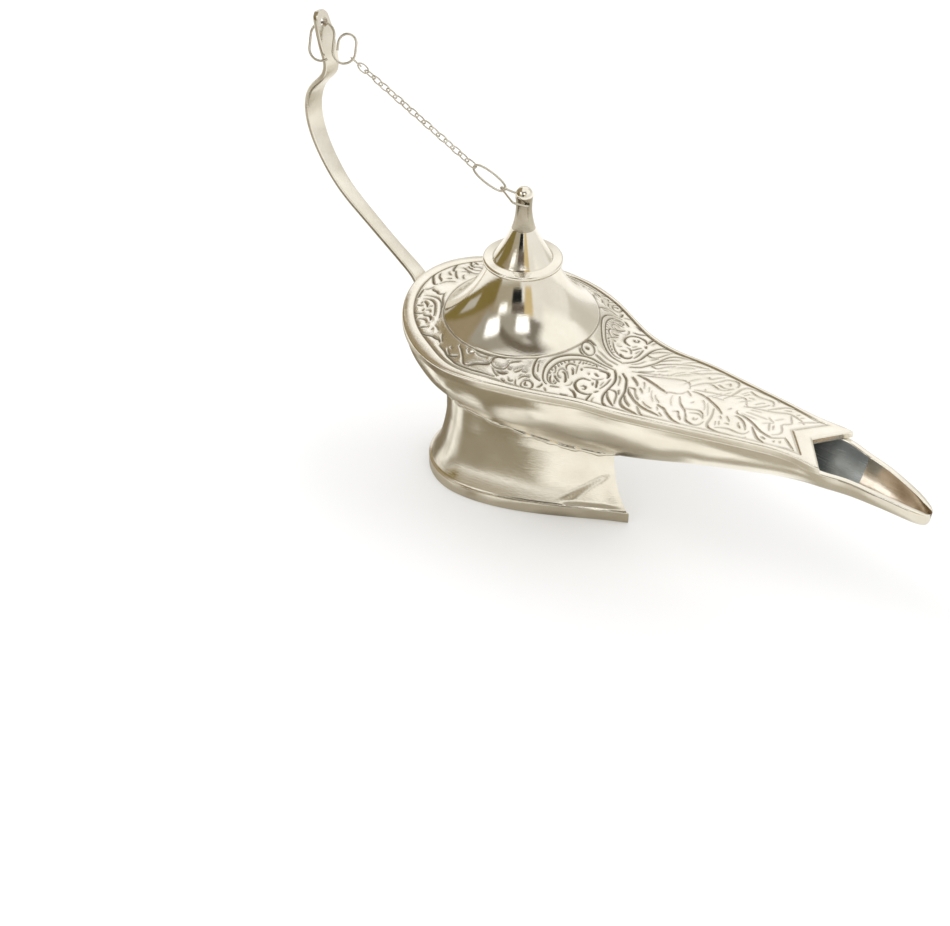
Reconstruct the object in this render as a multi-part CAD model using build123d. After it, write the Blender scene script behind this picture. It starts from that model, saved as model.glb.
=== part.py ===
from build123d import *
import math
import os

# Cast oil lamp of the boat-shaped kind, in millimetres.
# X runs from the handle to the spout, Z is up, and the origin is on the table under the lid's axis.

# Deck: a crowned plate that closes the hull
DECK_HEIGHT = 80.0
DECK_THICKNESS = 3.0
CROWN_RISE = 5.0
CROWN_RADIUS = 160.0
NOSE_CROWN_RADIUS = 300.0
CROWN_CHANGE_LENGTH = 60.0
DECK_FALLS = [(-64.0, 0.0), (-30.0, 0.0), (-6.0, 0.15), (10.0, 1.1), (20.0, 2.6), (33.0, 5.2), (49.0, 7.2)]
DECK_NOSE_FALLS = [(60.0, 7.4), (75.0, 6.0), (95.0, 4.7), (110.0, 3.8), (125.0, 3.3), (138.0, 3.4), (190.0, 3.4)]
STERN_CENTRE = -6.0
STERN_RADIUS = 44.0
TAIL_X = 142.0
NOTCH_X = 132.0
RIM_BAND = 4.0
FIELD_DEPTH = 0.8
FIELD_TAIL_X = 132.4
FIELD_NOTCH_X = 123.3
SHOULDER_INSETS = [(10.0, 2.0), (24.0, 6.5), (34.0, 11.0), (45.0, 15.8), (55.0, 18.2), (74.0, 20.7)]
SHOULDER = [(x, STERN_RADIUS - inset) for x, inset in SHOULDER_INSETS]
STERN_BACK = STERN_CENTRE - STERN_RADIUS
DECK_STATIONS = [-64.0, -57.0, -50.0, -42.0, -32.0, -20.0, -8.0, 5.0, 20.0, 35.0, 50.0, 65.0, 80.0]
DECK_NOSE_STATIONS = [95.0, 110.0, 125.0, 138.0, 146.0]
NOSE = [(94.0, 19.5), (114.0, 15.6), (132.0, 13.4), (142.0, 13.6)]

# Hull: an open bowl that runs out into the spout's trough
HULL_WALL = 2.4
HULL_OVERHANG = 0.8
SEAM = 0.3
SPOUT_TIP_X = 181.5
SPOUT_DROP_START = 138.0
SPOUT_DROP = 11.0
SPOUT = [(150.0, 11.6), (160.0, 10.0), (168.0, 7.6), (174.0, 5.2), (178.5, 2.9), (181.3, 1.6)]
KEEL = [(-6.0, -48.5), (15.0, -49.5), (30.0, -49.0), (45.0, -46.2), (60.0, -41.8), (80.0, -34.6)]
KEEL_NOSE = [(105.0, -26.2), (128.0, -19.6), (145.0, -16.8), (160.0, -15.6)]
KEEL_TIP = [(174.0, -14.9), (178.5, -14.3), (181.3, -13.7)]
KEEL_LINE = KEEL + KEEL_NOSE + KEEL_TIP
STERN_ANGLES = [4.0, 9.0, 15.0, 22.0, 37.0, 54.0, 72.0, 90.0]
STERN_GROOVE = 0.12
STERN_FULLNESS = 0.9
SECTION_FORM = [(0.97, 0.15), (0.87, 0.35), (0.71, 0.55), (0.48, 0.75), (0.26, 0.90)]

# Dome, which is cast in one with the deck, and its filling neck
DOME_BASE_RADIUS = 31.3
DOME_BASE_HEIGHT = 5.0
DOME_WAIST = (20.7, 15.7)
SKIRT_RADIUS = 41.0
SKIRT_FALL = 6.3
SKIRT_BEND = (3.9, 2.8)
DOME_WALL = 2.2
NECK_RADIUS = 14.0
NECK_HEIGHT = 29.2
NECK_BORE = 12.3

# Lid: flange, cone and finial over a spigot that drops into the neck
LID_GAP = 0.1
SPIGOT_CLEARANCE = 0.3
SPIGOT_LENGTH = 5.0
SPIGOT_WALL = 2.0
FLANGE_RADIUS = 16.0
FLANGE_THICKNESS = 1.8
CONE_RADIUS = 11.9
CONE_WAIST = (7.6, 38.6)
CONE_TOP = 44.6
CONE_TOP_RADIUS = 4.7
FINIAL_RADIUS = 3.6
FINIAL_WAIST = (3.4, 50.5)
FINIAL_TOP = 62.4
LID_HOLE_HEIGHT = 56.3
LID_HOLE_RADIUS = 1.1
LID_HOLE_ANGLE = -35.0

# Foot: a hollow teardrop pedestal
FOOT_CENTRE = -14.0
FOOT_RADIUS = 28.0
FOOT_TIP = 57.0
PLINTH_HEIGHT = 5.5
FOOT_LEDGE = 1.2
FOOT_FLARE = [(6.5, 4.3), (14.5, 6.6), (24.5, 8.2), (42.5, 8.2)]
FOOT_WALL = 2.4
FOOT_ROOF = 5.5
FOOT_SEAT = 0.05

# Bolt that holds the foot to the hull
BOLT_X = 15.0
BOLT_RADIUS = 2.5
BOLT_CLEARANCE = 0.2
BOLT_HEAD_RADIUS = 4.5
BOLT_HEAD_HEIGHT = 2.6
BOSS_RADIUS = 6.5
BOSS_HEIGHT = 4.2
BOSS_ROOT = 0.15
WASHER_RADIUS = 6.0
WASHER_THICKNESS = 1.0
NUT_FLATS = 8.0
NUT_HEIGHT = 4.0
BOLT_END = 1.5

# Handle: a bent strip that ends in a leaf-shaped head
STRIP_THICKNESS = 2.4
STRIP_SEAT = 0.3
TAB_ANGLES = [22.0, 17.0, 12.5, 9.0]
STRIP_RUN = [(-2.6, 1.0), (-8.5, 6.2), (-20.0, 14.4), (-31.2, 22.8), (-41.5, 31.4), (-50.0, 42.6)]
STRIP_BOW = [(-54.8, 52.6), (-56.7, 62.6), (-56.0, 68.8), (-53.6, 74.2), (-48.8, 79.4)]
STRIP_HEAD = [(-46.2, 83.2), (-45.6, 87.0), (-46.4, 92.0), (-47.9, 98.5), (-49.3, 104.0)]
STRIP_TIP = [(-49.9, 106.2), (-50.2, 107.3)]
STRIP_WIDTHS = [(-30.0, 4.5), (-8.0, 4.5), (5.0, 3.2), (25.0, 3.2), (45.0, 3.8), (65.0, 4.5), (78.0, 4.6)]
HEAD_WIDTHS = [(83.0, 4.1), (87.0, 3.8), (92.0, 4.2), (98.5, 4.2), (104.0, 3.7), (106.2, 2.8), (107.3, 1.5)]
EYE = (-48.9, 102.9)
EYE_RADIUS = 1.9
RIVET_RADIUS = 1.2
RIVET_CLEARANCE = 0.1
RIVET_HEAD_RADIUS = 2.3
RIVET_HEAD_HEIGHT = 1.0
RIVET_ANGLES = [19.5, 12.0]
RIVET_TAIL_GAP = 0.5

# Hook of bent wire through the head's eye
HOOK_WIRE = 1.0
HOOK_TILT = 0.55
HOOK_LOOP_RADIUS = 4.85
HOOK_LOOP_CENTRE = (0.75, -5.0)
HOOK_LOOP_RUN = 5.2
HOOK_RING_TOP = (11.25, -7.3, 3.7)
HOOK_RING_LOW = (10.28, -10.5, 4.68)
HOOK_END_ANGLE = -52.0
HOOK_TIP = (7.55, -10.4)

# Chain from the hook to the lid
LINK_COUNT = 17
LINK_WIRE = 0.7
LINK_INNER_WIDTH = 1.5
LINK_GAP = 0.05
LINK_SIDES = 6
LINK_STEPS = 4
END_RING_WIRE = 0.9
END_RING_START = (-24.0, 0.0, 63.3)
END_RING_INNER_WIDTH = 3.6
LID_RING_WIRE = 0.9
LID_RING_APEX = (-11.6, 0.0, 58.6)
LID_RING_HALF = 4.9
LID_RING_SIDE = (3.6, 6.2)
LID_RING_CORNER = 1.6
LID_RING_SEAT = 2.6
WIRE_SIDES = 10
WIRE_STEP = 22.5

# How far cutting bodies reach past the part
REACH = 70.0
FLOOR = -DECK_HEIGHT - REACH


def interpolate(stations, x):
    """Smooth curve through (x, value) stations."""
    last = len(stations) - 1
    index = max(0, min(last - 1, sum(1 for s in stations if s[0] <= x) - 1))

    def slope(i):
        low, high = max(0, i - 1), min(last, i + 1)
        return (stations[high][1] - stations[low][1]) / (stations[high][0] - stations[low][0])

    (x0, y0), (x1, y1) = stations[index], stations[index + 1]
    span = x1 - x0
    t = (x - x0) / span
    start = (2 * t**3 - 3 * t**2 + 1) * y0 + (t**3 - 2 * t**2 + t) * span * slope(index)
    end = (3 * t**2 - 2 * t**3) * y1 + (t**3 - t**2) * span * slope(index + 1)
    return start + end


def ease(t):
    """Smooth step from 0 to 1."""
    t = max(0.0, min(1.0, t))
    return t * t * (3 - 2 * t)


def deck_line(x):
    """Height of the deck's middle line over its datum; past the tails it is the spout's drooping rim."""
    droop = max(0.0, (x - SPOUT_DROP_START) / (SPOUT_TIP_X - SPOUT_DROP_START))
    return CROWN_RISE - interpolate(DECK_FALLS + DECK_NOSE_FALLS, x) - SPOUT_DROP * droop**2


def crown_sag(x, y):
    """How far the deck falls at y from its middle line."""
    share = ease((x - STERN_CENTRE) / CROWN_CHANGE_LENGTH)
    return y**2 / (2 * (CROWN_RADIUS + (NOSE_CROWN_RADIUS - CROWN_RADIUS) * share))


def half_width(x):
    """Half the deck's or the spout's width at x, forward of the stern's round."""
    stations = [(STERN_CENTRE, STERN_RADIUS)] + SHOULDER + NOSE + SPOUT
    return interpolate(stations, x)


def deck_slab(high, low):
    """Crowned slab between two offsets from the deck's surface."""
    sections = []
    for x in DECK_STATIONS + DECK_NOSE_STATIONS:
        top, under = deck_line(x) + high, deck_line(x) + low
        sag = crown_sag(x, REACH)
        with BuildSketch(Plane(origin=(x, 0, 0), x_dir=(0, 1, 0), z_dir=(1, 0, 0))) as section:
            with BuildLine():
                ThreePointArc((-REACH, top - sag), (0, top), (REACH, top - sag))
                Line((REACH, top - sag), (REACH, under - sag))
                ThreePointArc((REACH, under - sag), (0, under), (-REACH, under - sag))
                Line((-REACH, under - sag), (-REACH, top - sag))
            make_face()
        sections.append(section.sketch.face())
    return loft(sections)


def stern_point(angle, inset):
    """Point of the stern's middle profile: (x, half-width, keel height)."""
    radius = STERN_RADIUS - HULL_OVERHANG - inset
    depth = CROWN_RISE - KEEL[0][1] - inset
    swing = math.radians(angle)
    keel = CROWN_RISE - depth * math.sin(swing) ** STERN_FULLNESS
    return STERN_CENTRE - radius * math.cos(swing), radius * math.sin(swing), keel


def hull_side(x, width, keel):
    """Half of a hull section, from the rim to the keel."""
    rim = deck_line(x) - crown_sag(x, width) - DECK_THICKNESS - SEAM
    bilge = [(width * share, rim - (rim - keel) * depth) for share, depth in SECTION_FORM]
    return [(width, rim)] + bilge + [(0, keel)]


def hull_section(x, outside, inside=None):
    """Section of the hull at x from (half-width, keel) pairs: solid, or a wall around the inside."""
    half = hull_side(x, *outside)
    outline = half + [(-y, z) for y, z in reversed(half[:-1])]
    with BuildSketch(Plane(origin=(x, 0, 0), x_dir=(0, 1, 0), z_dir=(1, 0, 0))) as sketch:
        with BuildLine():
            Spline(*outline)
            if inside is None:
                Line(outline[-1], outline[0])
            else:
                half = hull_side(x, *inside)
                hollow = half + [(-y, z) for y, z in reversed(half[:-1])]
                Line(outline[-1], hollow[-1])
                Spline(*reversed(hollow))
                Line(hollow[0], outline[0])
        make_face()
    return sketch.sketch.face()


def hull_stations():
    """Rows of x, outside and inside (half-width, keel) pairs from the stern to the spout's tip."""
    rows = []
    for angle in STERN_ANGLES:
        x, width, keel = stern_point(angle, 0.0)
        reach = (STERN_CENTRE - x) / (STERN_RADIUS - HULL_OVERHANG - HULL_WALL)
        rim = hull_side(x, width, keel)[0][1]
        inside = (STERN_GROOVE * width, rim - STERN_GROOVE * (rim - keel))
        if reach < 1.0:
            _, inner_width, inner_keel = stern_point(math.degrees(math.acos(reach)), HULL_WALL)
            inside = (inner_width, inner_keel)
        rows.append((x, (width, keel), inside))
    for x, deck_width in SHOULDER + NOSE + SPOUT:
        width = deck_width - HULL_OVERHANG
        keel = interpolate(KEEL_LINE, x)
        height = hull_side(x, width, keel)[0][1] - keel
        wall, floor = min(HULL_WALL, width * 0.5), min(HULL_WALL, height * 0.45)
        rows.append((x, (width, keel), (width - wall, keel + floor)))
    return rows


def plan_outline(band, tail_x, notch_x):
    """Deck outline in plan, set in by band, with its swallow-tail end."""
    side = [(x, half_width(x) - band) for x, _ in SHOULDER + NOSE if x < tail_x - RIM_BAND]
    tail = (tail_x, half_width(tail_x) - band)
    shoulder = (STERN_CENTRE, STERN_RADIUS - band)
    with BuildSketch() as sketch:
        with BuildLine():
            back = (STERN_CENTRE - STERN_RADIUS + band, 0)
            ThreePointArc((shoulder[0], -shoulder[1]), back, shoulder)
            Spline(shoulder, *side, tail, tangents=((1, 0), (1, 0)))
            Polyline(tail, (notch_x, 0), (tail[0], -tail[1]))
            Spline((tail[0], -tail[1]), *[(x, -y) for x, y in reversed(side)], (shoulder[0], -shoulder[1]),
                   tangents=((-1, 0), (-1, 0)))
        make_face()
    return sketch.sketch.face()


def prism(face, low, high):
    """Upright prism on a plan outline."""
    return extrude(Pos(0, 0, low) * face, high - low, dir=(0, 0, 1))


def turned(profile):
    """Solid turned about the lid's axis from a closed (radius, height) outline of edges."""
    with BuildSketch(Plane.XZ) as sketch:
        with BuildLine():
            profile()
        make_face()
    return revolve(sketch.sketch, Axis.Z)


def to_table(shape):
    """Lift from the deck's datum to the table's."""
    return Pos(0, 0, DECK_HEIGHT) * shape


def wire_ring(points, normal, wire, sides, closed):
    """Faceted bent wire along planar points, mitred at each bend."""
    count = len(points)
    rings = []
    for i, point in enumerate(points):
        before = points[i - 1] if closed or i > 0 else None
        after = points[(i + 1) % count] if closed or i < count - 1 else None
        into = (point - before).normalized() if before is not None else (after - point).normalized()
        out = (after - point).normalized() if after is not None else into
        along = (into + out).normalized()
        across = along.cross(normal).normalized()
        stretch = 1 / max(0.5, along.dot(into))
        ring = []
        for k in range(sides):
            turn = 2 * math.pi * (k + 0.5) / sides
            ring.append(point + across * (wire / 2 * math.cos(turn) * stretch)
                        + normal * (wire / 2 * math.sin(turn)))
        rings.append(ring)
    faces = []
    for i in range(count if closed else count - 1):
        a, b = rings[i], rings[(i + 1) % count]
        for k in range(sides):
            n = (k + 1) % sides
            faces.append(Face(Wire.make_polygon([a[k], a[n], b[n], b[k]], close=True)))
    if not closed:
        faces.append(Face(Wire.make_polygon(rings[0], close=True)))
        faces.append(Face(Wire.make_polygon(rings[-1], close=True)))
    solid = Solid(Shell(faces))
    return solid if solid.volume > 0 else Solid(solid.wrapped.Reversed())


def arc_points(centre, radius, start, end, step):
    """Points of an arc in its own plane, in degrees, ends included."""
    count = max(2, round(abs(end - start) / step))
    angles = [math.radians(start + (end - start) * i / count) for i in range(count + 1)]
    return [(centre[0] + radius * math.cos(a), centre[1] + radius * math.sin(a)) for a in angles]


def oblong_points(length, width, steps):
    """Middle line of an oblong ring: two half circles joined by straight sides."""
    radius = width / 2
    run = length / 2 - radius
    front = arc_points((run, 0), radius, -90, 90, 180 / steps)
    back = arc_points((-run, 0), radius, 90, 270, 180 / steps)
    return front + back


def placed(points, centre, along, across):
    """Planar points as space points."""
    return [centre + along * a + across * b for a, b in points]


# Hull: one wall round the bowl and the trough
rows = hull_stations()
outer_hull = loft([hull_section(x, outside) for x, outside, _ in rows])
hull = loft([hull_section(x, outside, inside) for x, outside, inside in rows])
at_low = (Align.CENTER, Align.CENTER, Align.MIN)
at_high = (Align.CENTER, Align.CENTER, Align.MAX)
keel_at_bolt = interpolate(KEEL_LINE, BOLT_X)
boss_top = keel_at_bolt + BOSS_HEIGHT
boss = Pos(BOLT_X, 0, boss_top) * Cylinder(BOSS_RADIUS, BOSS_HEIGHT - HULL_WALL + BOSS_ROOT, align=at_high)
bolt_hole = Pos(BOLT_X, 0, boss_top + 1.0) * Cylinder(BOLT_RADIUS + BOLT_CLEARANCE, -FLOOR, align=at_high)
hull = hull + boss - bolt_hole

# Strip's tab follows the stern, and the rivets stand square to it
tab = []
rivet_planes = []
for angle in TAB_ANGLES + RIVET_ANGLES:
    x, _, z = stern_point(angle, 0.0)
    x_on, _, z_on = stern_point(angle - 0.5, 0.0)
    tab_out = Vector(z - z_on, 0, x_on - x).normalized()
    middle = Vector(x, 0, z) + tab_out * (STRIP_SEAT + STRIP_THICKNESS / 2)
    if angle in TAB_ANGLES:
        tab.append((middle.X, middle.Z))
    else:
        rivet_planes.append(Plane(origin=middle, x_dir=(0, 1, 0), z_dir=tab_out))
for plane in rivet_planes:
    hull -= plane * Cylinder(RIVET_RADIUS + RIVET_CLEARANCE, 8 * STRIP_THICKNESS)

# Deck with its dome
plan_low, plan_high = -40.0, 40.0
plate = prism(plan_outline(0.0, TAIL_X, NOTCH_X), plan_low, plan_high) & deck_slab(0.0, -DECK_THICKNESS)
field = prism(plan_outline(RIM_BAND, FIELD_TAIL_X, FIELD_NOTCH_X), plan_low, plan_high)
plate -= field & deck_slab(2 * FIELD_DEPTH, -FIELD_DEPTH)


def dome_outside():
    base = (DOME_BASE_RADIUS, DOME_BASE_HEIGHT)
    bend = (DOME_BASE_RADIUS + SKIRT_BEND[0], DOME_BASE_HEIGHT - SKIRT_BEND[1])
    edge = (SKIRT_RADIUS, DOME_BASE_HEIGHT - SKIRT_FALL)
    Line((0, NECK_HEIGHT), (NECK_RADIUS, NECK_HEIGHT))
    ThreePointArc((NECK_RADIUS, NECK_HEIGHT), DOME_WAIST, base)
    ThreePointArc(base, bend, edge)
    Polyline(edge, (SKIRT_RADIUS, plan_low), (0, plan_low), (0, NECK_HEIGHT))


def dome_inside():
    base = (DOME_BASE_RADIUS - 2 * DOME_WALL, -DOME_WALL)
    neck_foot = NECK_HEIGHT - 2 * SPIGOT_LENGTH
    waist = (DOME_WAIST[0] - DOME_WALL, DOME_WAIST[1] - DOME_WALL)
    Polyline((0, NECK_HEIGHT + 1), (NECK_BORE, NECK_HEIGHT + 1), (NECK_BORE, neck_foot))
    Spline((NECK_BORE, neck_foot), waist, base)
    Polyline(base, (base[0], plan_low), (0, plan_low), (0, NECK_HEIGHT + 1))


dome = turned(dome_outside) & deck_slab(plan_high, -DECK_THICKNESS / 2)
deck = plate + dome - turned(dome_inside)

# Lid
seat = NECK_HEIGHT + LID_GAP
flange_top = seat + FLANGE_THICKNESS
spigot_radius = NECK_BORE - SPIGOT_CLEARANCE


def lid_outside():
    crown = FINIAL_TOP - FINIAL_RADIUS
    Polyline((0, seat - SPIGOT_LENGTH), (spigot_radius, seat - SPIGOT_LENGTH), (spigot_radius, seat),
             (FLANGE_RADIUS, seat), (FLANGE_RADIUS, flange_top - 0.4), (FLANGE_RADIUS - 0.4, flange_top),
             (CONE_RADIUS, flange_top), (CONE_RADIUS, flange_top + 0.5))
    ThreePointArc((CONE_RADIUS, flange_top + 0.5), CONE_WAIST, (CONE_TOP_RADIUS, CONE_TOP))
    ThreePointArc((CONE_TOP_RADIUS, CONE_TOP), FINIAL_WAIST, (FINIAL_RADIUS, crown))
    eighth = FINIAL_RADIUS * math.sqrt(0.5)
    ThreePointArc((FINIAL_RADIUS, crown), (eighth, crown + eighth), (0, FINIAL_TOP))
    Line((0, FINIAL_TOP), (0, seat - SPIGOT_LENGTH))


def lid_inside():
    bore = spigot_radius - SPIGOT_WALL
    Polyline((0, seat - SPIGOT_LENGTH - 1), (bore, seat - SPIGOT_LENGTH - 1), (bore, seat),
             (bore - SPIGOT_WALL, flange_top), (FINIAL_RADIUS - 1.6, CONE_TOP - 3.0), (0, CONE_TOP - 3.0),
             (0, seat - SPIGOT_LENGTH - 1))


hole_way = Vector(math.cos(math.radians(LID_HOLE_ANGLE)), math.sin(math.radians(LID_HOLE_ANGLE)), 0)
hole_middle = Vector(0, 0, LID_HOLE_HEIGHT)
lid_hole = Plane(origin=hole_middle, z_dir=hole_way) * Cylinder(LID_HOLE_RADIUS, 4 * FINIAL_RADIUS)
lid = turned(lid_outside) - turned(lid_inside) - lid_hole

# Ring through the lid's hole, bent round the finial to its apex
apex = Vector(*LID_RING_APEX)
to_apex = apex - hole_middle
ring_side = (to_apex - hole_way * to_apex.dot(hole_way)).normalized()
ring_normal = hole_way.cross(ring_side).normalized()
ring_corners = [(LID_RING_HALF, 0.0), LID_RING_SIDE, (to_apex.dot(hole_way), to_apex.dot(ring_side)),
                (-LID_RING_HALF, 0.0)]
rounded = []
corner_ways = []
for i, corner in enumerate(ring_corners):
    here = Vector(*corner)
    back_way = (Vector(*ring_corners[i - 1]) - here).normalized()
    fore_way = (Vector(*ring_corners[(i + 1) % 4]) - here).normalized()
    if i == 2:
        corner_ways = [back_way, fore_way]
    for t in (0.0, 0.25, 0.5, 0.75, 1.0):
        bend = here + back_way * (LID_RING_CORNER * (1 - t) ** 2) + fore_way * (LID_RING_CORNER * t**2)
        rounded.append((bend.X, bend.Y))
ring_path = placed(rounded, hole_middle, hole_way, ring_side)
lid_ring = wire_ring(ring_path, ring_normal, LID_RING_WIRE, WIRE_SIDES, True)

# Handle
strip = tab + [(STERN_BACK + x, z) for x, z in STRIP_RUN + STRIP_BOW + STRIP_HEAD + STRIP_TIP]
strip_sections = []
for i, (x, z) in enumerate(strip):
    before, after = strip[max(0, i - 1)], strip[min(len(strip) - 1, i + 1)]
    way = Vector(after[0] - before[0], 0, after[1] - before[1]).normalized()
    width = 2 * interpolate(STRIP_WIDTHS + HEAD_WIDTHS, z)
    place = Plane(origin=(x, 0, z), x_dir=(0, 1, 0), z_dir=way)
    strip_sections.append((place * Rectangle(width, STRIP_THICKNESS)).face())
handle = loft(strip_sections)
head_low = Vector(STRIP_HEAD[2][0], 0, STRIP_HEAD[2][1])
head_high = Vector(STRIP_HEAD[4][0], 0, STRIP_HEAD[4][1])
head_up = (head_high - head_low).normalized()
head_out = Vector(head_up.Z, 0, -head_up.X)
eye = Vector(STERN_BACK + EYE[0], 0, EYE[1])
handle -= Plane(origin=eye, z_dir=head_out) * Cylinder(EYE_RADIUS, 6 * STRIP_THICKNESS)
for plane in rivet_planes:
    handle -= plane * Cylinder(RIVET_RADIUS + RIVET_CLEARANCE, 8 * STRIP_THICKNESS)
rivets = []
tail_face = -STRIP_THICKNESS / 2 - STRIP_SEAT - HULL_WALL - RIVET_TAIL_GAP
head_face = STRIP_THICKNESS / 2 + STRIP_SEAT
for plane in rivet_planes:
    rivet = Pos(0, 0, tail_face) * Cylinder(RIVET_RADIUS, head_face - tail_face, align=at_low)
    rivet += Pos(0, 0, tail_face) * Cylinder(RIVET_HEAD_RADIUS, RIVET_HEAD_HEIGHT, align=at_high)
    head = Cone(RIVET_HEAD_RADIUS, RIVET_HEAD_RADIUS / 2, RIVET_HEAD_HEIGHT, align=at_low)
    rivet += Pos(0, 0, head_face) * head
    rivets.append((plane * rivet).solid())


# Foot
def foot_outline(inset):
    """Teardrop in plan: a round back and an ogive tip."""
    radius = FOOT_RADIUS - inset
    tip = (FOOT_TIP - 1.1 * inset, 0)
    with BuildSketch() as sketch:
        with BuildLine():
            ThreePointArc((FOOT_CENTRE, -radius), (FOOT_CENTRE - radius, 0), (FOOT_CENTRE, radius))
            bow = ((FOOT_CENTRE * 0.45 + tip[0] * 0.55), radius * 0.60)
            Spline((FOOT_CENTRE, radius), bow, tip, tangents=((1, 0), (tip[0] - FOOT_CENTRE, -1.15 * radius)))
            Spline(tip, (bow[0], -bow[1]), (FOOT_CENTRE, -radius),
                   tangents=((-(tip[0] - FOOT_CENTRE), -1.15 * radius), (-1, 0)))
        make_face()
    return sketch.sketch.face()


def foot_body(wall, low):
    """Flared pedestal between the plinth and the hull."""
    levels = [(low, FOOT_LEDGE)] + [(low + rise, inset) for rise, inset in FOOT_FLARE]
    return loft([Pos(0, 0, z) * foot_outline(inset + wall) for z, inset in levels])


plinth = prism(foot_outline(0.0), 0, PLINTH_HEIGHT)
foot = plinth + foot_body(0.0, PLINTH_HEIGHT)
hollow = prism(foot_outline(FOOT_WALL + FOOT_LEDGE), -1, PLINTH_HEIGHT) + foot_body(FOOT_WALL, PLINTH_HEIGHT)
foot_ceiling = DECK_HEIGHT + keel_at_bolt - FOOT_ROOF
ceiling = Pos(0, 0, foot_ceiling) * Box(4 * REACH, 4 * REACH, REACH, align=at_low)
foot = foot - (hollow - ceiling) - to_table(Pos(0, 0, -FOOT_SEAT) * outer_hull) - to_table(bolt_hole)
foot = min(foot.solids(), key=lambda s: s.center().Z)

# Bolt, washer and nut under the hull
bolt_low = foot_ceiling - WASHER_THICKNESS - NUT_HEIGHT - BOLT_END
head_seat = boss_top + DECK_HEIGHT
foot_bolt = Pos(BOLT_X, 0, bolt_low) * Cylinder(BOLT_RADIUS, head_seat - bolt_low, align=at_low)
foot_bolt += Pos(BOLT_X, 0, head_seat) * Cylinder(BOLT_HEAD_RADIUS, BOLT_HEAD_HEIGHT, align=at_low)
washer_low = foot_ceiling - WASHER_THICKNESS
foot_washer = Pos(BOLT_X, 0, washer_low) * (
    Cylinder(WASHER_RADIUS, WASHER_THICKNESS, align=at_low)
    - Cylinder(BOLT_RADIUS + BOLT_CLEARANCE, WASHER_THICKNESS, align=at_low))
nut_face = RegularPolygon(NUT_FLATS / 2, 6, major_radius=False)
nut_low = washer_low - NUT_HEIGHT
foot_nut = extrude(Pos(BOLT_X, 0, nut_low) * nut_face, NUT_HEIGHT, dir=(0, 0, 1))
foot_nut -= Pos(BOLT_X, 0, nut_low) * Cylinder(BOLT_RADIUS + 0.02, NUT_HEIGHT, align=at_low)

# Hook: one wire, a closed loop through the eye and an open ring for the chain
hook_up = (head_up + Vector(0, HOOK_TILT, 0)).normalized()
hook_along = Vector(hook_up.Y, -hook_up.X, 0).normalized()
hook_normal = hook_along.cross(hook_up).normalized()
loop_x, loop_z = HOOK_LOOP_CENTRE
ring_x, ring_z, ring_radius = HOOK_RING_TOP
low_x, low_z, low_radius = HOOK_RING_LOW
hook_line = [HOOK_TIP]
hook_line += arc_points((ring_x, ring_z), ring_radius, 180, 0, WIRE_STEP)
hook_line += arc_points((low_x, low_z), low_radius, 0, -180, WIRE_STEP)
hook_line += arc_points((loop_x, loop_z), HOOK_LOOP_RADIUS, 0, 180, WIRE_STEP)
hook_line += arc_points((loop_x, loop_z - HOOK_LOOP_RUN), HOOK_LOOP_RADIUS, 180, 360 + HOOK_END_ANGLE, WIRE_STEP)
chain_hook = wire_ring(placed(hook_line, eye, hook_along, hook_up), hook_normal, HOOK_WIRE, WIRE_SIDES, False)

# Chain: each link lies a quarter turn from the last, hung between the hook and the end ring
ring_start = Vector(*END_RING_START)
hang = eye + hook_along * low_x + hook_up * low_z
pull = (ring_start - hang).normalized()
pull_flat = (hook_along * pull.dot(hook_along) + hook_up * pull.dot(hook_up)).normalized()
chain_start = hang + pull_flat * low_radius
chain_way = (ring_start - chain_start).normalized()
chain_length = (ring_start - chain_start).length
grip = (HOOK_WIRE + END_RING_WIRE) / 2
link_inner = (chain_length + (LINK_COUNT - 1) * LINK_WIRE + grip + (LINK_COUNT + 1) * LINK_GAP) / LINK_COUNT
pitch = link_inner - LINK_WIRE - LINK_GAP
wire_run = pull_flat.cross(hook_normal)
first_normal = (wire_run - chain_way * wire_run.dot(chain_way)).normalized()
second_normal = chain_way.cross(first_normal).normalized()
link_line = oblong_points(link_inner + LINK_WIRE, LINK_INNER_WIDTH + LINK_WIRE, LINK_STEPS)
links = []
for i in range(LINK_COUNT):
    middle = chain_start + chain_way * (link_inner / 2 - HOOK_WIRE / 2 - LINK_GAP + i * pitch)
    normal = first_normal if i % 2 == 0 else second_normal
    across = normal.cross(chain_way).normalized()
    links.append(wire_ring(placed(link_line, middle, chain_way, across), normal, LINK_WIRE, LINK_SIDES, True))

# Oval ring between the chain and the lid's ring
apex_split = (corner_ways[0] + corner_ways[1]).normalized()
ring_end = apex + (hole_way * apex_split.X + ring_side * apex_split.Y) * LID_RING_SEAT
ring_way = (ring_end - ring_start).normalized()
ring_across = (first_normal - ring_way * first_normal.dot(ring_way)).normalized()
end_line = oblong_points((ring_end - ring_start).length, END_RING_INNER_WIDTH + END_RING_WIRE, 8)
end_middle = (ring_start + ring_end) * 0.5
chain_end_ring = wire_ring(placed(end_line, end_middle, ring_way, ring_across),
                           ring_way.cross(ring_across).normalized(), END_RING_WIRE, WIRE_SIDES, True)

nodes = {
    "hull": to_table(hull),
    "deck": to_table(deck),
    "foot": foot,
    "handle": to_table(handle),
    "handle_rivets": to_table(Compound(rivets)),
    "foot_bolt": foot_bolt,
    "foot_washer": foot_washer,
    "foot_nut": foot_nut,
    "chain_hook": to_table(chain_hook),
    "chain_end_ring": to_table(chain_end_ring),
    "lid": to_table(lid),
    "lid_ring": to_table(lid_ring),
}
for i, link in enumerate(links):
    nodes[f"chain_link_{i + 1:02d}"] = to_table(link)

os.makedirs("parts", exist_ok=True)
for name, shape in nodes.items():
    export_step(shape, f"parts/{name}.step")
print(f"link inner length {link_inner:.2f}, pitch {pitch:.2f}, chain {chain_length:.1f}")
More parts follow.
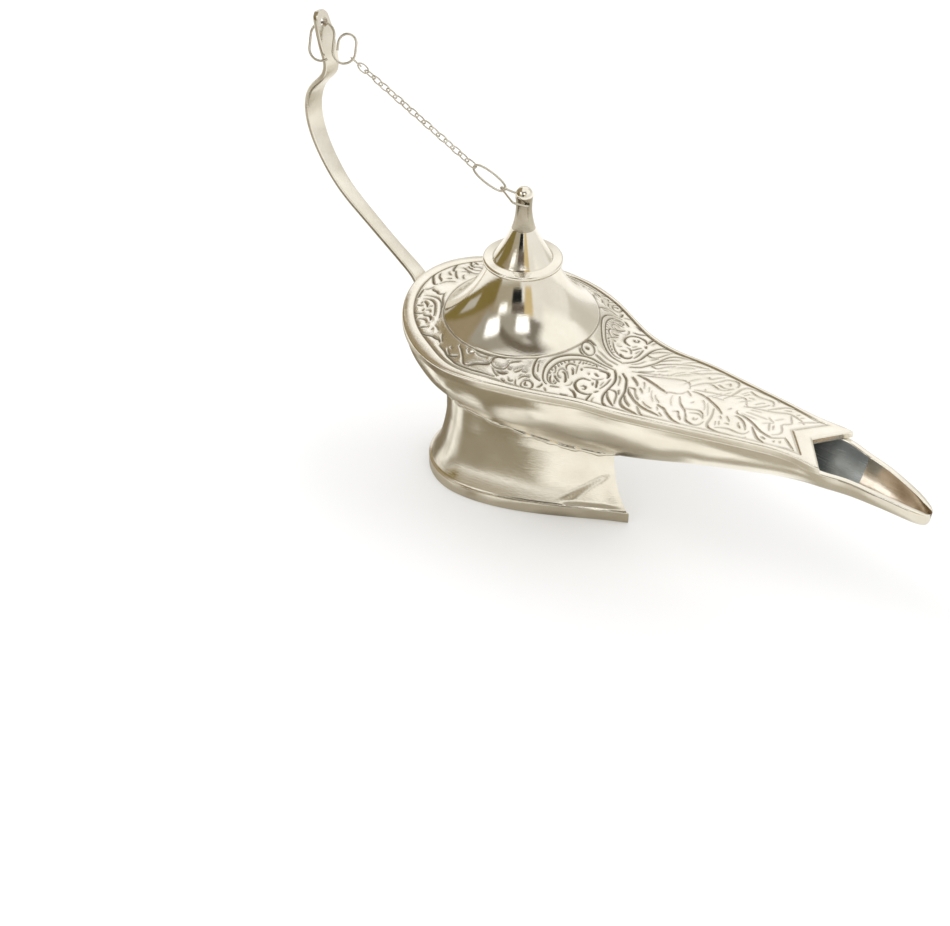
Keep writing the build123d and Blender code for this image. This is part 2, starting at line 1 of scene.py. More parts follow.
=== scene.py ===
import bpy
import math
import numpy as np
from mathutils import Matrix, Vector
from mathutils.bvhtree import BVHTree


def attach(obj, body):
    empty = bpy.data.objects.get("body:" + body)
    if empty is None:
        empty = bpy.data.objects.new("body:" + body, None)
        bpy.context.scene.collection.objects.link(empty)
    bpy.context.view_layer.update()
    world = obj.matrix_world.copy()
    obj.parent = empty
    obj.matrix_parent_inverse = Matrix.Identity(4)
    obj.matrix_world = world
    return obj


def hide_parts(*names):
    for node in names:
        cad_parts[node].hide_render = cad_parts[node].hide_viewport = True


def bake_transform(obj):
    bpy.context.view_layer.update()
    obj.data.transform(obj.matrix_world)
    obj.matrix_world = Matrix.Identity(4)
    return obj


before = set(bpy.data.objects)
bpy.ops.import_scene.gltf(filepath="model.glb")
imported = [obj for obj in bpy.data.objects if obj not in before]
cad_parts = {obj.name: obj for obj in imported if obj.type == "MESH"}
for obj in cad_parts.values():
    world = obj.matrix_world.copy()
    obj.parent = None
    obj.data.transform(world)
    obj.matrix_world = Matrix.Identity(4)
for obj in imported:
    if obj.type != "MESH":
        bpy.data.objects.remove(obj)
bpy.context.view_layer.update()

# Lengths are in millimetres; heights are over the deck's datum, and the foot's are over the table
MM = 0.001
SHARP_ANGLE = 40.0
DECK_HEIGHT = 80.0
DECK_THICKNESS = 3.0
CROWN_RISE = 5.0
CROWN_RADIUS, NOSE_CROWN_RADIUS, CROWN_CHANGE_LENGTH = 160.0, 300.0, 60.0
TAIL_X, NOTCH_X = 142.0, 132.0
FIELD_DEPTH, FIELD_TAIL_X, FIELD_NOTCH_X = 0.8, 132.4, 123.3
STERN_CENTRE, STERN_RADIUS = -6.0, 44.0
STERN_BACK = STERN_CENTRE - STERN_RADIUS
KEEL_DEPTH = 48.5
SPOUT_TIP_X, SPOUT_DROP_START, SPOUT_DROP = 181.5, 138.0, 8.0

# Camera at the photograph's viewing angle
CAMERA_PLACE = (0.3118, -0.4533, 0.4583)
CAMERA_TILT, CAMERA_TURN = 50.5, 36.5
CAMERA_SENSOR, CAMERA_LENS = 36.0, 61.73
camera = bpy.data.objects.new("camera", bpy.data.cameras.new("camera"))
bpy.context.scene.collection.objects.link(camera)
camera.location = CAMERA_PLACE
camera.rotation_euler = (math.radians(CAMERA_TILT), 0.0, math.radians(CAMERA_TURN))
camera.data.sensor_fit = "HORIZONTAL"
camera.data.sensor_width = CAMERA_SENSOR
camera.data.lens = CAMERA_LENS
bpy.context.scene.camera = camera


# Curves
def spline(stations, start=None, end=None):
    """Curve of even bending through (x, value) stations; an end slope is free where none is given."""
    x, y = np.array(stations, float).T
    h = np.diff(x)
    n = len(x)
    a, r = np.zeros((n, n)), np.zeros(n)
    for i in range(1, n - 1):
        a[i, i - 1:i + 2] = 1 / h[i - 1], 2 / h[i - 1] + 2 / h[i], 1 / h[i]
        r[i] = 3 * ((y[i] - y[i - 1]) / h[i - 1]**2 + (y[i + 1] - y[i]) / h[i]**2)
    ends = ((0, 1, start, h[0], y[1] - y[0]), (n - 1, n - 2, end, h[-1], y[-1] - y[-2]))
    for row, inner, slope, step, rise in ends:
        a[row, row] = 1.0 if slope is not None else 2 / step
        if slope is None:
            a[row, inner] = 1 / step
        r[row] = slope if slope is not None else 3 * rise / step**2
    m = np.linalg.solve(a, r)

    def value(t):
        t = np.asarray(t, float)
        i = np.clip(np.searchsorted(x, t, "right") - 1, 0, n - 2)
        u = (t - x[i]) / h[i]
        low = (2 * u**3 - 3 * u**2 + 1) * y[i] + (u**3 - 2 * u**2 + u) * h[i] * m[i]
        return low + (3 * u**2 - 2 * u**3) * y[i + 1] + (u**3 - u**2) * h[i] * m[i + 1]

    return value


def path(points, count):
    """Even points of a smooth line through the given ones."""
    points = np.array(points, float)
    run = np.concatenate([[0.0], np.cumsum(np.linalg.norm(np.diff(points, axis=0), axis=1))])
    t = np.linspace(0, run[-1], count)
    return np.stack([spline(np.stack([run, points[:, k]], 1))(t) for k in range(points.shape[1])], 1)


def ease(t):
    """Smooth step from 0 to 1."""
    t = np.clip(t, 0.0, 1.0)
    return t * t * (3 - 2 * t)


def unit(vector):
    """Vector of length one the same way."""
    return vector / np.linalg.norm(vector)


def square_to(vector, way):
    """Part of a vector that is square to a way, at length one."""
    return unit(vector - way * (vector @ way))


def arc(centre, radius, start, end, count):
    """Even points of an arc between two angles in degrees."""
    t = np.radians(np.linspace(start, end, count))
    return [(centre[0] + radius * math.cos(a), centre[1] + radius * math.sin(a)) for a in t]


def arc3(a, b, c, count):
    """Even points of the circle from a through b to c."""
    a, b, c = (np.array(p, float) for p in (a, b, c))
    m = 2 * np.array([b - a, c - a])
    centre = np.linalg.solve(m, [b @ b - a @ a, c @ c - a @ a])
    radius = np.linalg.norm(a - centre)
    angles = [math.atan2(*(p - centre)[::-1]) for p in (a, b, c)]
    middle, end = ((g - angles[0]) % (2 * math.pi) for g in angles[1:])
    sweep = end if middle < end else end - 2 * math.pi
    t = angles[0] + np.linspace(0, sweep, count)
    return centre + radius * np.stack([np.cos(t), np.sin(t)], 1)


def oval(length, width, count, fullness=0.75):
    """Points of a long ring; a lower fullness squares its ends."""
    t = np.linspace(0, 2 * math.pi, count, endpoint=False)
    side = np.sign(np.sin(t)) * np.abs(np.sin(t))**fullness
    return np.column_stack([length / 2 * np.cos(t), width / 2 * side])


# Lines of the body, as (x, value)
deck_falls = spline([(-64, 0), (-30, 0), (-6, 0.15), (10, 1.1), (20, 2.6), (33, 5.2), (49, 7.2),
                     (60, 7.4), (75, 6), (95, 4.7), (110, 3.8), (125, 3.3), (138, 3.4), (190, 3.4)])
half_width = spline([(STERN_CENTRE, STERN_RADIUS), (10, 42), (24, 37.5), (34, 33), (45, 28.2),
                     (55, 25.8), (74, 23.3), (94, 19.5), (114, 15.6), (132, 13.4), (142, 13.6),
                     (150, 11.6), (160, 10), (168, 8.2), (173, 7), (177, 5.6), (179.6, 4.2),
                     (180.8, 3), (181.3, 1.9)], start=0)
keel_line = spline([(STERN_CENTRE, -KEEL_DEPTH), (15, -49.5), (30, -49), (45, -46.2), (60, -41.8),
                    (80, -34.6), (105, -26.2), (128, -19.6), (145, -16.8), (160, -16.2), (170, -16.6),
                    (176, -16.8), (179.4, -16.2), (180.8, -14.8), (181.3, -13.6)])


def deck_line(x):
    """Height of the deck's middle line; past the tails it is the spout's drooping rim."""
    droop = np.maximum(0.0, (x - SPOUT_DROP_START) / (SPOUT_TIP_X - SPOUT_DROP_START))
    return CROWN_RISE - deck_falls(x) - SPOUT_DROP * droop**2


def deck_z(x, y):
    """Height of the deck's surface."""
    flatter = ease((x - STERN_CENTRE) / CROWN_CHANGE_LENGTH)
    return deck_line(x) - y**2 / (2 * (CROWN_RADIUS + (NOSE_CROWN_RADIUS - CROWN_RADIUS) * flatter))


# Meshes
def add_mesh(name, points, faces, sharp=SHARP_ANGLE, datum=DECK_HEIGHT):
    """Mesh object from points in millimetres over a datum, shaded smooth up to an angle."""
    points = np.array(points, float).reshape(-1, 3) + (0.0, 0.0, datum)
    mesh = bpy.data.meshes.new(name)
    mesh.from_pydata((points * MM).tolist(), [], faces)
    mesh.validate()
    mesh.polygons.foreach_set("use_smooth", [True] * len(mesh.polygons))
    mesh.set_sharp_from_angle(angle=math.radians(sharp))
    obj = bpy.data.objects.new(name, mesh)
    bpy.context.scene.collection.objects.link(obj)
    return obj


def grid_faces(rows, cols, wrap_rows=False, wrap_cols=False, flip=False):
    """Quads of a grid of points numbered row by row."""
    faces = []
    for i in range(rows if wrap_rows else rows - 1):
        for j in range(cols if wrap_cols else cols - 1):
            a, b = i * cols + j, i * cols + (j + 1) % cols
            c, d = (i + 1) % rows * cols + (j + 1) % cols, (i + 1) % rows * cols + j
            faces.append((a, b, c, d) if not flip else (d, c, b, a))
    return faces


def turned(name, outline, segments=160, sharp=SHARP_ANGLE):
    """Closed outline of (radius, height) points turned about the lid's axis."""
    outline = np.array(outline, float)
    turns = np.linspace(0, 2 * math.pi, segments, endpoint=False)
    points = [[(r * math.cos(a), r * math.sin(a), z) for r, z in outline] for a in turns]
    return add_mesh(name, points, grid_faces(segments, len(outline), True, True, flip=True), sharp)


def tube(points, radius, sides, closed, normal):
    """Round wire along points, with one radius or one for each point: its points and faces."""
    points = np.array(points, float)
    n = len(points)
    if closed:
        ways = np.roll(points, -1, 0) - np.roll(points, 1, 0)
    else:
        ways = np.gradient(points, axis=0)
    ways /= np.linalg.norm(ways, axis=1)[:, None]
    side = np.array(normal, float)
    turns = 2 * math.pi * (np.arange(sides) + 0.5) / sides
    rings = []
    for p, way, thick in zip(points, ways, np.broadcast_to(radius, n)):
        side = square_to(side, way)
        across = np.cross(way, side)
        rings.append(p + thick * (np.cos(turns)[:, None] * across + np.sin(turns)[:, None] * side))
    faces = grid_faces(n, sides, closed, True, flip=True)
    if not closed:
        faces += [tuple(range(sides)), tuple(range((n - 1) * sides, n * sides))[::-1]]
    return np.concatenate(rings), faces


def joined(parts):
    """Several (points, faces) as one."""
    points, faces, first = [], [], 0
    for p, f in parts:
        points.append(p)
        faces += [tuple(first + k for k in face) for face in f]
        first += len(p)
    return np.concatenate(points), faces


def drilled(obj, centre, way, radius, length=14.0, sides=40):
    """Take a round hole out of a piece."""
    way = unit(np.array(way, float))
    reach = way * length / 2
    any_side = np.cross(way, (0.3, 0.9, 0.2))
    cutter = add_mesh("drill", *tube([centre - reach, centre + reach], radius, sides, False, any_side))
    modifier = obj.modifiers.new("cut", "BOOLEAN")
    modifier.operation = "DIFFERENCE"
    modifier.solver = "EXACT"
    modifier.object = cutter
    bpy.context.view_layer.update()
    graph = bpy.context.evaluated_depsgraph_get()
    mesh = bpy.data.meshes.new_from_object(obj.evaluated_get(graph))
    obj.modifiers.remove(modifier)
    obj.data = mesh
    bpy.data.objects.remove(cutter)
    mesh.polygons.foreach_set("use_smooth", [True] * len(mesh.polygons))
    mesh.set_sharp_from_angle(angle=math.radians(SHARP_ANGLE))


# Hull: a thin dented wall round the bowl and the trough, rounded at its rim
HULL_OVERHANG, HULL_WALL, SEAM = 0.8, 2.4, 0.3
STERN_GROOVE, STERN_FULLNESS, STERN_HOLLOW = 0.12, 0.9, 0.985
SECTION_FORM = [(1.0, 0.0), (0.97, 0.15), (0.87, 0.35), (0.71, 0.55), (0.48, 0.75), (0.26, 0.90), (0.0, 1.0)]
SECTION_POINTS = 57
STERN_ANGLES = np.linspace(4.0, 90.0, 44)[:-1]
HULL_STATIONS = np.concatenate([np.linspace(STERN_CENTRE, 165.0, 130), np.linspace(166.0, 179.0, 20),
                                np.linspace(179.3, 181.3, 12)])
THIN_WALL, THIN_FLOOR = 0.5, 0.45
LIP_FORM = ((0.07, 0.16), (0.22, 0.03), (0.78, 0.03), (0.93, 0.16))
LIP_FALL, THIN_LIP_FALL = 0.5, 0.3
DENTS = [(-34, -20, 9, 0.9), (-20, -12, 7, 0.8), (-12, -26, 10, 1.1), (2, -14, 8, 0.8),
         (10, -27, 8, -0.7), (20, -18, 9, 0.9), (33, -28, 8, 0.7), (46, -20, 10, 0.6)]
DENT_FADE = 8.0


def rim_height(x, width):
    """Height of the hull's rim under the deck's edge."""
    return float(deck_z(x, width)) - DECK_THICKNESS - SEAM


def stern_profile(angle, inset):
    """Place, half width and keel height of the round stern at an angle from its back."""
    radius, depth = STERN_RADIUS - HULL_OVERHANG - inset, CROWN_RISE + KEEL_DEPTH - inset
    swing = math.radians(angle)
    keel = CROWN_RISE - depth * math.sin(swing)**STERN_FULLNESS
    return STERN_CENTRE - radius * math.cos(swing), radius * math.sin(swing), keel


def hull_line(x, width, keel):
    """One face of the wall, from rim to rim under the keel."""
    rim = rim_height(x, width)
    half = [(width * share, rim - (rim - keel) * depth) for share, depth in SECTION_FORM]
    line = path(half + [(-y, z) for y, z in half[-2::-1]], SECTION_POINTS)
    return np.column_stack([np.full(SECTION_POINTS, x), line])


def hull_row(x, outside, inside):
    """Points round the wall at one station: outside, lip, inside and lip."""
    outer, inner = hull_line(x, *outside), hull_line(x, *inside)[::-1]
    for dent_x, dent_z, size, depth in DENTS:
        dent = depth * np.exp(-((x - dent_x)**2 + (outer[:, 2] - dent_z)**2) / size**2)
        outer[:, 1] -= np.sign(outer[:, 1]) * dent * np.minimum(1.0, np.abs(outer[:, 1]) / DENT_FADE)
    fall = min(LIP_FALL, THIN_LIP_FALL * (outer[0, 2] - outer[SECTION_POINTS // 2, 2]))
    lips = []
    for a, b in ((outer[-1], inner[0]), (inner[-1], outer[0])):
        lips.append([a * (1 - t) + b * t - (0, 0, down) for t, down in LIP_FORM])
    for line in (outer, inner):
        line[[0, -1], 2] -= fall
    return np.concatenate([outer, lips[0], inner, lips[1]])


hull_points = []
for angle in STERN_ANGLES:
    x, width, keel = stern_profile(angle, 0.0)
    reach = (STERN_CENTRE - x) / (STERN_RADIUS - HULL_OVERHANG - HULL_WALL)
    rim = rim_height(x, width)
    inside = (STERN_GROOVE * width, rim - STERN_GROOVE * (rim - keel))
    if reach < STERN_HOLLOW:
        inside = stern_profile(math.degrees(math.acos(reach)), HULL_WALL)[1:]
    hull_points.append(hull_row(x, (width, keel), inside))
for x in HULL_STATIONS:
    width, keel = float(half_width(x)) - HULL_OVERHANG, float(keel_line(x))
    wall = min(HULL_WALL, width * THIN_WALL)
    bottom = min(HULL_WALL, (rim_height(x, width) - keel) * THIN_FLOOR)
    hull_points.append(hull_row(x, (width, keel), (width - wall, keel + bottom)))
hull_cols = len(hull_points[0])
inside_first = SECTION_POINTS + len(LIP_FORM)
inside_last = inside_first + SECTION_POINTS - 1
hull_faces = grid_faces(len(hull_points), hull_cols, False, True)
for row, flip in ((0, False), (len(hull_points) - 1, True)):
    caps = [(j, j + 1, inside_last - 1 - j, inside_last - j) for j in range(SECTION_POINTS - 1)]
    caps += [tuple(range(SECTION_POINTS - 1, inside_first + 1)), (*range(inside_last, hull_cols), 0)]
    for cap in caps:
        ring = tuple(row * hull_cols + k for k in cap)
        hull_faces.append(ring if flip else ring[::-1])
hull = add_mesh("hull_shell", hull_points, hull_faces, 50.0)

# Deck: a rounded rim round the ornamented field, with its section as (share of the band, height)
rim_band = spline([(-50, 4.4), (-35, 5.2), (-20, 5.4), (-10, 3.8), (2, 2.8), (14, 2.8), (24, 2.1),
                   (34, 1.9), (45, 2.1), (75, 2), (100, 1.9), (120, 2), (132.4, 2.4), (142, 2.4)])
RIM_SECTION = [(0.0, -DECK_THICKNESS), (0.0, -1.1), (0.012, -0.7), (0.045, -0.36), (0.10, -0.14), (0.2, 0.0),
               (0.38, 0.10), (0.6, 0.12), (0.78, 0.07), (0.89, -0.04), (0.96, -0.22), (0.99, -0.5), (1, -0.9),
               (1, -DECK_THICKNESS)]


def outline(share, tail_x, notch_x):
    """Deck's outline in plan, set in by a share of the rim's band."""
    turns = np.linspace(-0.5 * math.pi, -1.5 * math.pi, 97)
    radius = STERN_RADIUS - share * rim_band(STERN_CENTRE + STERN_RADIUS * np.cos(turns))
    stern = np.column_stack([STERN_CENTRE + radius * np.cos(turns), radius * np.sin(turns)])
    x = STERN_CENTRE + (tail_x - STERN_CENTRE) * np.linspace(0, 1, 151)[1:]
    side = np.column_stack([x, half_width(x) - share * rim_band(x)])
    t = np.linspace(0, 1, 25)[1:, None]
    vee = side[-1] * (1 - t) + np.array([notch_x, 0.0]) * t
    low = np.concatenate([side, vee])[:-1][::-1] * (1, -1)
    return np.concatenate([stern, side, vee, low])


rim_outer = outline(0.0, TAIL_X, NOTCH_X)
rim_inner = outline(1.0, FIELD_TAIL_X, FIELD_NOTCH_X)
rim_points = []
for share, rise in RIM_SECTION:
    plan = rim_outer * (1 - share) + rim_inner * share
    rim_points.append(np.column_stack([plan, deck_z(plan[:, 0], plan[:, 1]) + rise]))
rim_faces = grid_faces(len(rim_points), len(rim_outer), True, True, flip=True)
deck_rim = add_mesh("deck_rim", rim_points, rim_faces, 50.0)

# Ornament: chased lines by (half the line's width, depth); a line is x, y in turn, with y > 0 on the far side
WING = {
    (0.6, 1.0): [[43, 7.2, 44.6, 6.4, 46, 6.4, 47.2, 7.4, 47.6, 9]],
    (0.5, 1.0): [[34.8, 15, 35.4, 15.2, 36.3, 16.7], [33, 18.9, 34, 18.6, 34.8, 19.4, 35.6, 20.6, 36, 21.8],
        [43, 14.5, 41.6, 14.8, 40.4, 15.2, 39.4, 16.6, 39.1, 18.4, 39.6, 20.2, 41, 21.6, 42.8, 22.4,
        44.6, 22.4, 46.4, 21.8, 47.6, 20.6], [47, 2.9, 48.6, 4.6, 50, 6.6, 51, 9, 51.3, 12, 51.4, 15.5,
        51.8, 18.3, 52.7, 20.6, 53.8, 22.2]],
    (0.5, 0.95): [[47.6, 20.8, 47.7, 23, 48, 25.4, 48.8, 27.6]],
    (0.5, 0.9): [[37.4, 11.8, 37.6, 12.4], [31.4, 22.4, 32.8, 22.8, 34.2, 23.2], [48.8, 17.8, 48, 19]],
    (0.5, 0.85): [[38, 28.2, 39.4, 27.8, 40.6, 27]],
    (0.5, 0.7): [[42.2, 9.6, 43.4, 10.3, 44.2, 10.4]],
    (0.45, 0.95): [[39.4, 23.6, 41.4, 24, 43, 25.2, 44.4, 26.8]],
    (0.45, 0.9): [[45, 12.6, 45.8, 13.6, 46.4, 15, 47.2, 16.4]],
    (0.42, 1.0): [[46.6, 3, 43.5, 3.1, 40.5, 3.6, 38, 4.5, 36, 5.8, 34, 7.8, 32.4, 9.8, 30.8, 12, 29.2, 14.6,
        27.8, 17.4, 27.1, 20, 27, 22.4, 27.6, 24.6, 28.8, 26.4, 31, 27.4]],
    (0.4, 0.9): [[30.4, 23.4, 31, 25, 32, 25.5]],
    (0.4, 0.85): [[42.2, 19.4, 42.8, 18.6, 43.8, 18.8, 44.2, 19.8, 43.4, 20.4]],
    (0.4, 0.8): [[48.8, 8.8, 49.1, 11, 49, 13.5, 48.6, 16], [42.4, 29.2, 45.4, 28.8]],
    (0.4, 0.7): [[32.8, 27.3, 34, 26.5, 35.6, 25.6]],
    (0.4, 0.5): [[40.2, 11, 40.8, 12]],
    (0.36, 0.9): [[44.6, 4.7, 42.4, 4.6, 40, 5.4, 38.4, 6.2, 36.6, 7.6, 35, 9.2, 33.6, 11, 32.2, 13,
        30.8, 15.2, 29.6, 17.8, 29, 20.4, 28.9, 22.6, 29.6, 24.6, 31, 25.8, 32.4, 25.9, 33.6, 25],
        [35.4, 12.6, 33.8, 13.4, 32.8, 14.8, 32.8, 16.2, 33.6, 17]],
    (0.35, 0.7): [[44.4, 14.8, 45.4, 16.2]],
    (0.34, 0.8): [[44.4, 6, 42, 6.8, 40, 8, 38.4, 9.6, 37.6, 10.8]],
    (0.34, 0.6): [[46.4, 10.4, 45.6, 11.6, 44.6, 12.6, 43, 13]],
    (0.3, 0.85): [[41, 6.3, 40.3, 5.7], [39.8, 6.2, 39.2, 7.4], [38.6, 7, 38, 8.2], [37.4, 7.7, 37, 9],
        [36.3, 8.7, 36.6, 10], [35.4, 9.6, 35.5, 11.2], [33.6, 11.8, 34.2, 12.4], [32.2, 13.2, 32.6, 14],
        [31, 15, 31.9, 15.4], [30.4, 16.6, 31.4, 16.8], [29.9, 18, 31, 18.4], [29.4, 19.6, 30.4, 19.8],
        [29.1, 21.2, 30, 21.4], [29.2, 23, 30, 22.8]],
    (0.3, 0.8): [[32.4, 23.8, 32.7, 25], [33.6, 24, 33.2, 25]],
    (0.3, 0.7): [[35.6, 11.6, 36, 13, 37, 15.4], [30.2, 20, 31, 21, 30.6, 22], [31.8, 20.8, 32.8, 21.6,
        34, 21.4]],
    (0.3, 0.65): [[31.8, 20.6, 31.6, 19, 32.4, 17.9, 33.6, 17.6, 35, 18.2, 36, 19.4]],
    (0.3, 0.55): [[47.6, 12, 47.9, 14.4], [38, 19.5, 38.3, 21.5, 37.4, 23]],
    (0.3, 0.5): [[49.4, 22, 49.8, 24, 51, 25.2]],
}
PLUMES = {
    (0.5, 1.0): [[50.6, 2.6, 52, 3.6, 53.8, 5, 55, 6.8, 56.2, 9, 57.4, 11.5, 58, 14, 58.6, 16.5, 59.6, 18.6,
        61.5, 20.2, 64, 21, 67, 21.6, 70, 22, 72, 21.8, 75, 21.4, 79, 20.8], [57.4, 9.2, 59, 11.4, 61, 13,
        63.5, 14.8, 66, 16.2, 69, 17.4, 72, 18, 77, 18.7], [53.8, 22.4, 55, 23, 57, 23.7, 60, 23.8,
        62, 23.5]],
    (0.5, 0.7): [[54.8, 2.2, 57, 3.6, 58.6, 4.8, 59.6, 6]],
    (0.45, 1.0): [[72.6, 12.8, 74, 13.4, 76, 14, 78, 15.6, 80, 17, 82, 18.2, 84.6, 18.8, 86.4, 18.9]],
    (0.42, 0.95): [[58.5, 14, 60.5, 16.4, 62.2, 17.8, 63.8, 18.8], [66.2, 17.4, 68, 19.2, 69.6, 20.8,
        71.2, 21.6]],
    (0.4, 0.85): [[80, 13.4, 81.6, 12.9, 83, 14.6, 85, 16.6]],
    (0.36, 0.75): [[51.4, 14.2, 54.6, 14, 56, 15.6, 57, 18, 58, 20.4], [52, 16, 53.2, 18, 54.8, 19.6, 57, 21,
        58.4, 21.8]],
    (0.36, 0.7): [[57, 8.6, 60, 8.6, 61, 10, 63, 12.4, 64.6, 13.6], [54.8, 12.4, 55.6, 13.4, 56.4, 14.6]],
    (0.34, 0.6): [[61, 6.8, 62.6, 8, 63.8, 9.2]],
    (0.3, 0.6): [[73, 14, 74.6, 15.8]],
    (0.3, 0.55): [[50.2, 4.8, 51.5, 6, 52.6, 8, 53.3, 10]],
    (0.3, 0.5): [[60.4, 2.6, 61.6, 4, 62.6, 6], [66, 6, 67.6, 9, 70, 11.6], [66.6, 14, 69, 15.4, 72, 16.2]],
    (0.3, 0.45): [[68.6, 8, 70.4, 10, 72.6, 11.4], [74.6, 5, 75.6, 8, 77.6, 10.6], [64, 4.6, 65.6, 7],
        [75.6, 17, 78, 18.6]],
}
AXIS = {
    (0.5, 1.0): [[56, 0.2, 58, 0, 61, -0.6, 63.5, -1.4, 66, -2.4, 68, -3.2, 70, -3.9, 72, -4.5]],
    (0.46, 1.0): [[80, 1.6, 83, 1.4, 86, 0.8, 88.6, -0.4, 91, -1.6, 94, -3.4, 96.6, -5.4], [100.4, -0.4,
        101, -1.8, 103, -2.2, 106, -3, 109, -4.4, 111, -5.6, 113, -6.8, 115, -7.6, 117.5, -8.2, 119.5, -8.2,
        120.6, -7.6, 122.4, -6.4, 123.4, -5.6]],
    (0.4, 0.8): [[102, 4.2, 105, 4.4, 108, 5.2, 111, 6, 114, 7, 117, 8.4, 121, 8, 124, 6.8, 125.4, 5.9],
        [97.8, -0.4, 97.2, -1.3]],
    (0.4, 0.75): [[71, -4, 74, -3.2, 76.4, -2.4, 78, 0], [80, 2.8, 84, 4, 88, 5, 92, 6.2, 96, 8.2]],
    (0.36, 0.8): [[119, 7.8, 120.4, 5.4, 121.3, 3.4, 120, 2, 118.9, 0.8, 119.8, -1.2, 120.8, -3.8, 120, -5.4,
        118.6, -6.6], [114.4, -0.6, 115.4, -3, 116.4, -5], [116.4, -1.4, 117.4, -3.6]],
    (0.36, 0.7): [[56, 0.6, 61, 2.6, 69, 5.4, 76, 5.6, 78, 2.6], [96, 8.2, 99.6, 7.8, 101, 5.8, 102, 4.2]],
    (0.34, 0.6): [[53, 1, 60, 4, 67, 7], [77.8, 0.6, 79.4, -0.4, 81, -1.6]],
    (0.3, 0.55): [[104, 0.8, 112.6, 0.9], [104.6, 3, 108.4, 3.6], [88, 2.6, 92.6, 2.8]],
    (0.3, 0.5): [[102.4, -1.2, 109, -1.4], [115.4, 2, 117.4, 4.4]],
}
NOSE = {
    (0.5, 1.0): [[110, 6.4, 111.5, 8.2, 113.2, 10, 115, 11.6, 117, 12.4, 119, 12.9, 121, 12.6, 124, 11.6,
        127, 10.8, 129.4, 10.4]],
    (0.5, 0.8): [[88.6, 13.3, 89.4, 13.8, 90.2, 12.8]],
    (0.46, 0.95): [[92.4, 4, 93.6, 7, 94.4, 10, 94.8, 13, 96, 15.2, 98, 15.8, 101, 15.9, 104, 15.4,
        106.8, 15.1, 109, 14.7, 111, 13.4]],
    (0.45, 1.0): [[84.6, 12.4, 86, 14.4, 87, 16, 88.6, 16.6, 90.6, 16.8, 92.2, 16, 93, 13.6]],
    (0.45, 0.7): [[83.7, 4.4, 83.2, 5.2]],
    (0.42, 0.95): [[101.4, 3.6, 103, 4, 105, 5, 107, 6.8, 108.2, 8.4, 108.8, 9.4]],
    (0.4, 0.85): [[77.4, 4.2, 78.6, 6, 80, 8, 81.8, 9.6, 83.6, 11, 84.8, 12.6], [115.6, 9.8, 117.6, 10.5],
        [123.4, 5.8, 125, 7, 127, 8.6, 129, 10]],
    (0.36, 0.8): [[86, 11, 88, 10.2, 90.5, 10.4, 92, 11.6], [98.6, 13.8, 101, 12.6, 104, 12.2, 107, 12.4,
        109.6, 11.6, 110.4, 9.6]],
    (0.36, 0.75): [[82.4, 9.6, 84, 9.4, 86, 8.7, 88, 8.2, 90, 9, 91.8, 11.4], [104.4, 7, 105.6, 8.8,
        106.8, 9.6]],
    (0.34, 0.7): [[100.4, 9.6, 102, 9.8], [120.6, 9.4, 121.2, 10.2], [122.6, 8.5, 123.4, 9.4]],
    (0.3, 0.7): [[97.8, 10, 99, 11.8], [96.8, 10.6, 97.8, 12.6]],
    (0.3, 0.6): [[96.4, 7, 98, 8.2], [98.6, 5.6, 101.4, 8.2]],
    (0.3, 0.55): [[86, 1.6, 87.6, 3, 89, 5, 89.6, 6.6], [88.6, 2.2, 90.6, 5.6, 92.4, 8.8]],
    (0.3, 0.5): [[112.4, 2.2, 114, 1, 115.6, 0.2]],
}
